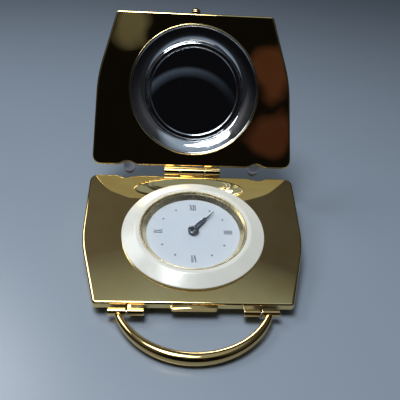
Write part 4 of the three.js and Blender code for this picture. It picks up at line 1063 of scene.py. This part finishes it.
def slate_finish():
    """Near-black lacquer over steel, with a soft gloss and rubbed high spots."""
    slate, rubbed = (0.035, 0.045, 0.06), (0.16, 0.18, 0.22)
    material, tree, shader = new_finish("slate_lacquer", slate, metallic=0.35, roughness=0.28)
    shader.inputs["Coat Weight"].default_value = 0.3
    shader.inputs["Coat Roughness"].default_value = 0.15
    coords = add_node(tree, "ShaderNodeTexCoord").outputs["Object"]
    edge = add_node(tree, "ShaderNodeAttribute", attribute_name="wear").outputs["Fac"]
    tone = blend_colours(tree, between(tree, edge, 0, 0.5, 0.2, 1.0), slate, rubbed)
    tree.links.new(tone, shader.inputs["Base Color"])
    tree.links.new(between(tree, noise(tree, coords, 0.4), 0.22, 0.36), shader.inputs["Roughness"])
    add_bump(tree, shader, noise(tree, coords, 0.1), 0.001)
    return material


slate = slate_finish()
hour_collet = turned(rounded([
    (HOUR_PIPE_RADIUS + SEAT_GAP, HOUR_HAND_LOW, 0),
    (HOUR_COLLET_RADIUS, HOUR_HAND_LOW, 0.03),
    (HOUR_COLLET_RADIUS, HOUR_HAND_HIGH, 0.05),
    (HOUR_PIPE_RADIUS + SEAT_GAP, HOUR_HAND_HIGH, 0),
]))
hour_root = Vector((-0.55, 0.8))
hour_tip = (0, HOUR_HAND_LENGTH)
near_tip = (-0.42, HOUR_HAND_LENGTH - 0.5)
hour_edge = [hour_root] + curve(hour_root, (-0.64, 2.8), near_tip, hour_tip, count=10)
hour_outline = [Vector((-p.x, p.y)) for p in hour_edge[:-1]] + list(reversed(hour_edge))
hour_blade = slab(hour_outline, HOUR_HAND_LOW, HOUR_HAND_HIGH, soften=0.06)
hour_frame = insert_frame @ Matrix.Rotation(-HOUR_ANGLE, 4, "Z")
hour_hand = build("hour_hand_slate", [hour_collet, hour_blade], hour_frame, slate)
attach(hour_hand, "hour_train")
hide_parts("hour_hand")

cap_inner = CANNON_RADIUS + SEAT_GAP
minute_cap = turned(rounded([
    (0, HUB_BORE_TOP, 0),
    (cap_inner, HUB_BORE_TOP, 0),
    (cap_inner, MINUTE_HAND_LOW, 0),
    (HUB_RADIUS, MINUTE_HAND_LOW, 0.04),
    (HUB_RADIUS, 0.84, 0.1),
    (HUB_RADIUS * 0.62, 0.97, 0.1),
    (HUB_RADIUS * 0.5, 0.90, 0.05),
    (HUB_RADIUS * 0.34, 0.90, 0.05),
    (HUB_RADIUS * 0.28, HUB_TOP, 0.08),
    (0, HUB_TOP, 0),
], closed=False))
minute_outline = [
    (-0.34, 0.9),
    (0.34, 0.9),
    (0.08, MINUTE_HAND_LENGTH),
    (-0.08, MINUTE_HAND_LENGTH),
]
minute_blade = slab(minute_outline, MINUTE_HAND_LOW, MINUTE_HAND_HIGH, soften=0.04)
minute_frame = insert_frame @ Matrix.Rotation(-MINUTE_ANGLE, 4, "Z")
minute_hand = build("minute_hand_slate", [minute_cap, minute_blade], minute_frame, slate)
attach(minute_hand, "minute_train")
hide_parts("minute_hand")

# ---- Mirror set -----------------------------------------------------------------------------
# A dished chrome tray lies in the lid's plate. A rounded chrome ring holds a flat silvered
# mirror on its floor.

DISH_DEPTH, DISH_FLOOR_RADIUS, DISH_WALL = 2.25, 11.6, 0.35
DISH_LIP, DISH_LIP_DROP = 0.12, 0.05
MIRROR_RADIUS, MIRROR_THICKNESS, MIRROR_RING_HEIGHT = 10.3, 0.22, 0.5


def chrome_finish():
    """Bright chrome plate with faint hairlines."""
    material, tree, shader = new_finish("chrome_plate", (0.80, 0.81, 0.84), metallic=1.0, roughness=0.05)
    coords = add_node(tree, "ShaderNodeTexCoord").outputs["Object"]
    tone = blend_colours(tree, noise(tree, coords, 5), (0.83, 0.84, 0.87), (0.76, 0.77, 0.81))
    tree.links.new(tone, shader.inputs["Base Color"])
    tree.links.new(between(tree, noise(tree, coords, 1.5, 5), 0.03, 0.11), shader.inputs["Roughness"])
    add_bump(tree, shader, noise(tree, coords, 0.5, 3), 0.0012)
    return material


def mirror_finish():
    """Silvered flat glass with a breath of dust."""
    silver, dusty = (0.72, 0.74, 0.78), (0.55, 0.56, 0.58)
    material, tree, shader = new_finish("mirror_silver", silver, metallic=1.0, roughness=0.01)
    coords = add_node(tree, "ShaderNodeTexCoord").outputs["Object"]
    dust = between(tree, noise(tree, coords, 0.35, 6), 0, 1, 0.66, 0.78)
    tone = blend_colours(tree, dust, silver, dusty)
    tree.links.new(tone, shader.inputs["Base Color"])
    tree.links.new(between(tree, dust, 0.008, 0.25, 0, 1), shader.inputs["Roughness"])
    return material


chrome = chrome_finish()
mirror_frame = lid_frame @ Matrix.Translation(insert_centre)


def dish_line(rim, lower, foot):
    """A small step at the rim, the flare that clears the bezel ring when shut, and the floor."""
    wall = [Vector((rim, -DISH_LIP_DROP - lower)), Vector((rim - 0.03, -0.34 - lower))]
    wall += curve(wall[-1], (rim - 0.06, -0.45 - lower), (rim - 0.25, -0.48 - lower), count=6)
    wall += curve(wall[-1], (foot + 1.6, -0.95 - lower), (foot + 0.4, -1.25 - lower),
                  (foot, -DISH_DEPTH - lower), count=20)
    return [tuple(p) for p in wall] + [(0, -DISH_DEPTH - lower)]


inside = [(DISH_RADIUS, -DISH_LIP_DROP)] + dish_line(DISH_RADIUS - DISH_LIP, 0, DISH_FLOOR_RADIUS)
outside = dish_line(DISH_RADIUS, DISH_WALL, DISH_FLOOR_RADIUS + 0.3)
dish = build("mirror_chrome_dish", [turned(list(reversed(inside)) + outside, 160)], mirror_frame, chrome)
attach(dish, "lid")
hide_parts("mirror_dish")

ring_low = -DISH_DEPTH + SEAT_GAP
ring_high = ring_low + MIRROR_RING_HEIGHT
ring_profile = rounded([
    (MIRROR_RADIUS + SEAT_GAP, ring_low, 0),
    (DISH_FLOOR_RADIUS - SEAT_GAP, ring_low, 0),
    (DISH_FLOOR_RADIUS - SEAT_GAP, ring_high, 0.3),
    (MIRROR_RADIUS + SEAT_GAP, ring_high, 0.3),
])
ring = build("mirror_chrome_ring", [turned(ring_profile, 160)], mirror_frame, chrome)
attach(ring, "lid")
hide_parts("mirror_ring")

glass_profile = rounded([
    (0, ring_low, 0),
    (MIRROR_RADIUS, ring_low, 0),
    (MIRROR_RADIUS, ring_low + MIRROR_THICKNESS, 0.05),
    (0, ring_low + MIRROR_THICKNESS, 0),
], closed=False)
mirror = build("mirror_flat_glass", [turned(glass_profile, 160)], mirror_frame, mirror_finish())
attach(mirror, "lid")
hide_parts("mirror")

# ---- Movement -------------------------------------------------------------------------------
# The quartz movement and its cup are shut inside the lower half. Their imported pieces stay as
# they are and get the finishes of stamped brass, steel, moulded plastic, wire and board.


def movement_finish(name, light, dark, metallic, roughness, grain_mm, relief_mm):
    """A plain workshop finish: two tones, uneven gloss and a fine grain."""
    material, tree, shader = new_finish(name, light, metallic=metallic, roughness=roughness)
    coords = add_node(tree, "ShaderNodeTexCoord").outputs["Object"]
    tone = blend_colours(tree, noise(tree, coords, 1.5), light, dark)
    tree.links.new(tone, shader.inputs["Base Color"])
    tree.links.new(between(tree, noise(tree, coords, 0.4), roughness * 0.8, roughness * 1.25),
                   shader.inputs["Roughness"])
    add_bump(tree, shader, noise(tree, coords, grain_mm), relief_mm)
    return material


brass = movement_finish("stamped_brass", (0.74, 0.56, 0.24), (0.66, 0.48, 0.19),
                        metallic=1.0, roughness=0.30, grain_mm=0.15, relief_mm=0.002)
plastic = movement_finish("white_moulding", (0.84, 0.83, 0.78), (0.80, 0.79, 0.74),
                          metallic=0.0, roughness=0.45, grain_mm=0.3, relief_mm=0.004)
copper = movement_finish("copper_winding", (0.55, 0.25, 0.11), (0.44, 0.18, 0.07),
                         metallic=0.8, roughness=0.35, grain_mm=0.05, relief_mm=0.01)
board = movement_finish("solder_mask", (0.04, 0.17, 0.08), (0.03, 0.13, 0.06),
                        metallic=0.0, roughness=0.35, grain_mm=0.4, relief_mm=0.003)
movement_nodes = {
    "insert_cup": steel, "movement_holder": plastic, "main_plate": brass, "train_bridge": steel,
    "bridge_screw_1": steel, "bridge_screw_2": steel, "stator": steel, "coil": copper,
    "circuit_board": board, "quartz_can": steel, "battery": steel, "battery_strap": steel,
    "centre_wheel": brass, "cannon_pinion": steel, "hour_wheel": brass, "minute_wheel": brass,
    "step_wheel": brass, "rotor": steel, "sliding_pinion": steel, "setting_stem": steel,
    "setting_crown": steel,
}
for node_name, finish in movement_nodes.items():
    frame["nodes"][node_name].material_slots[0].material = finish
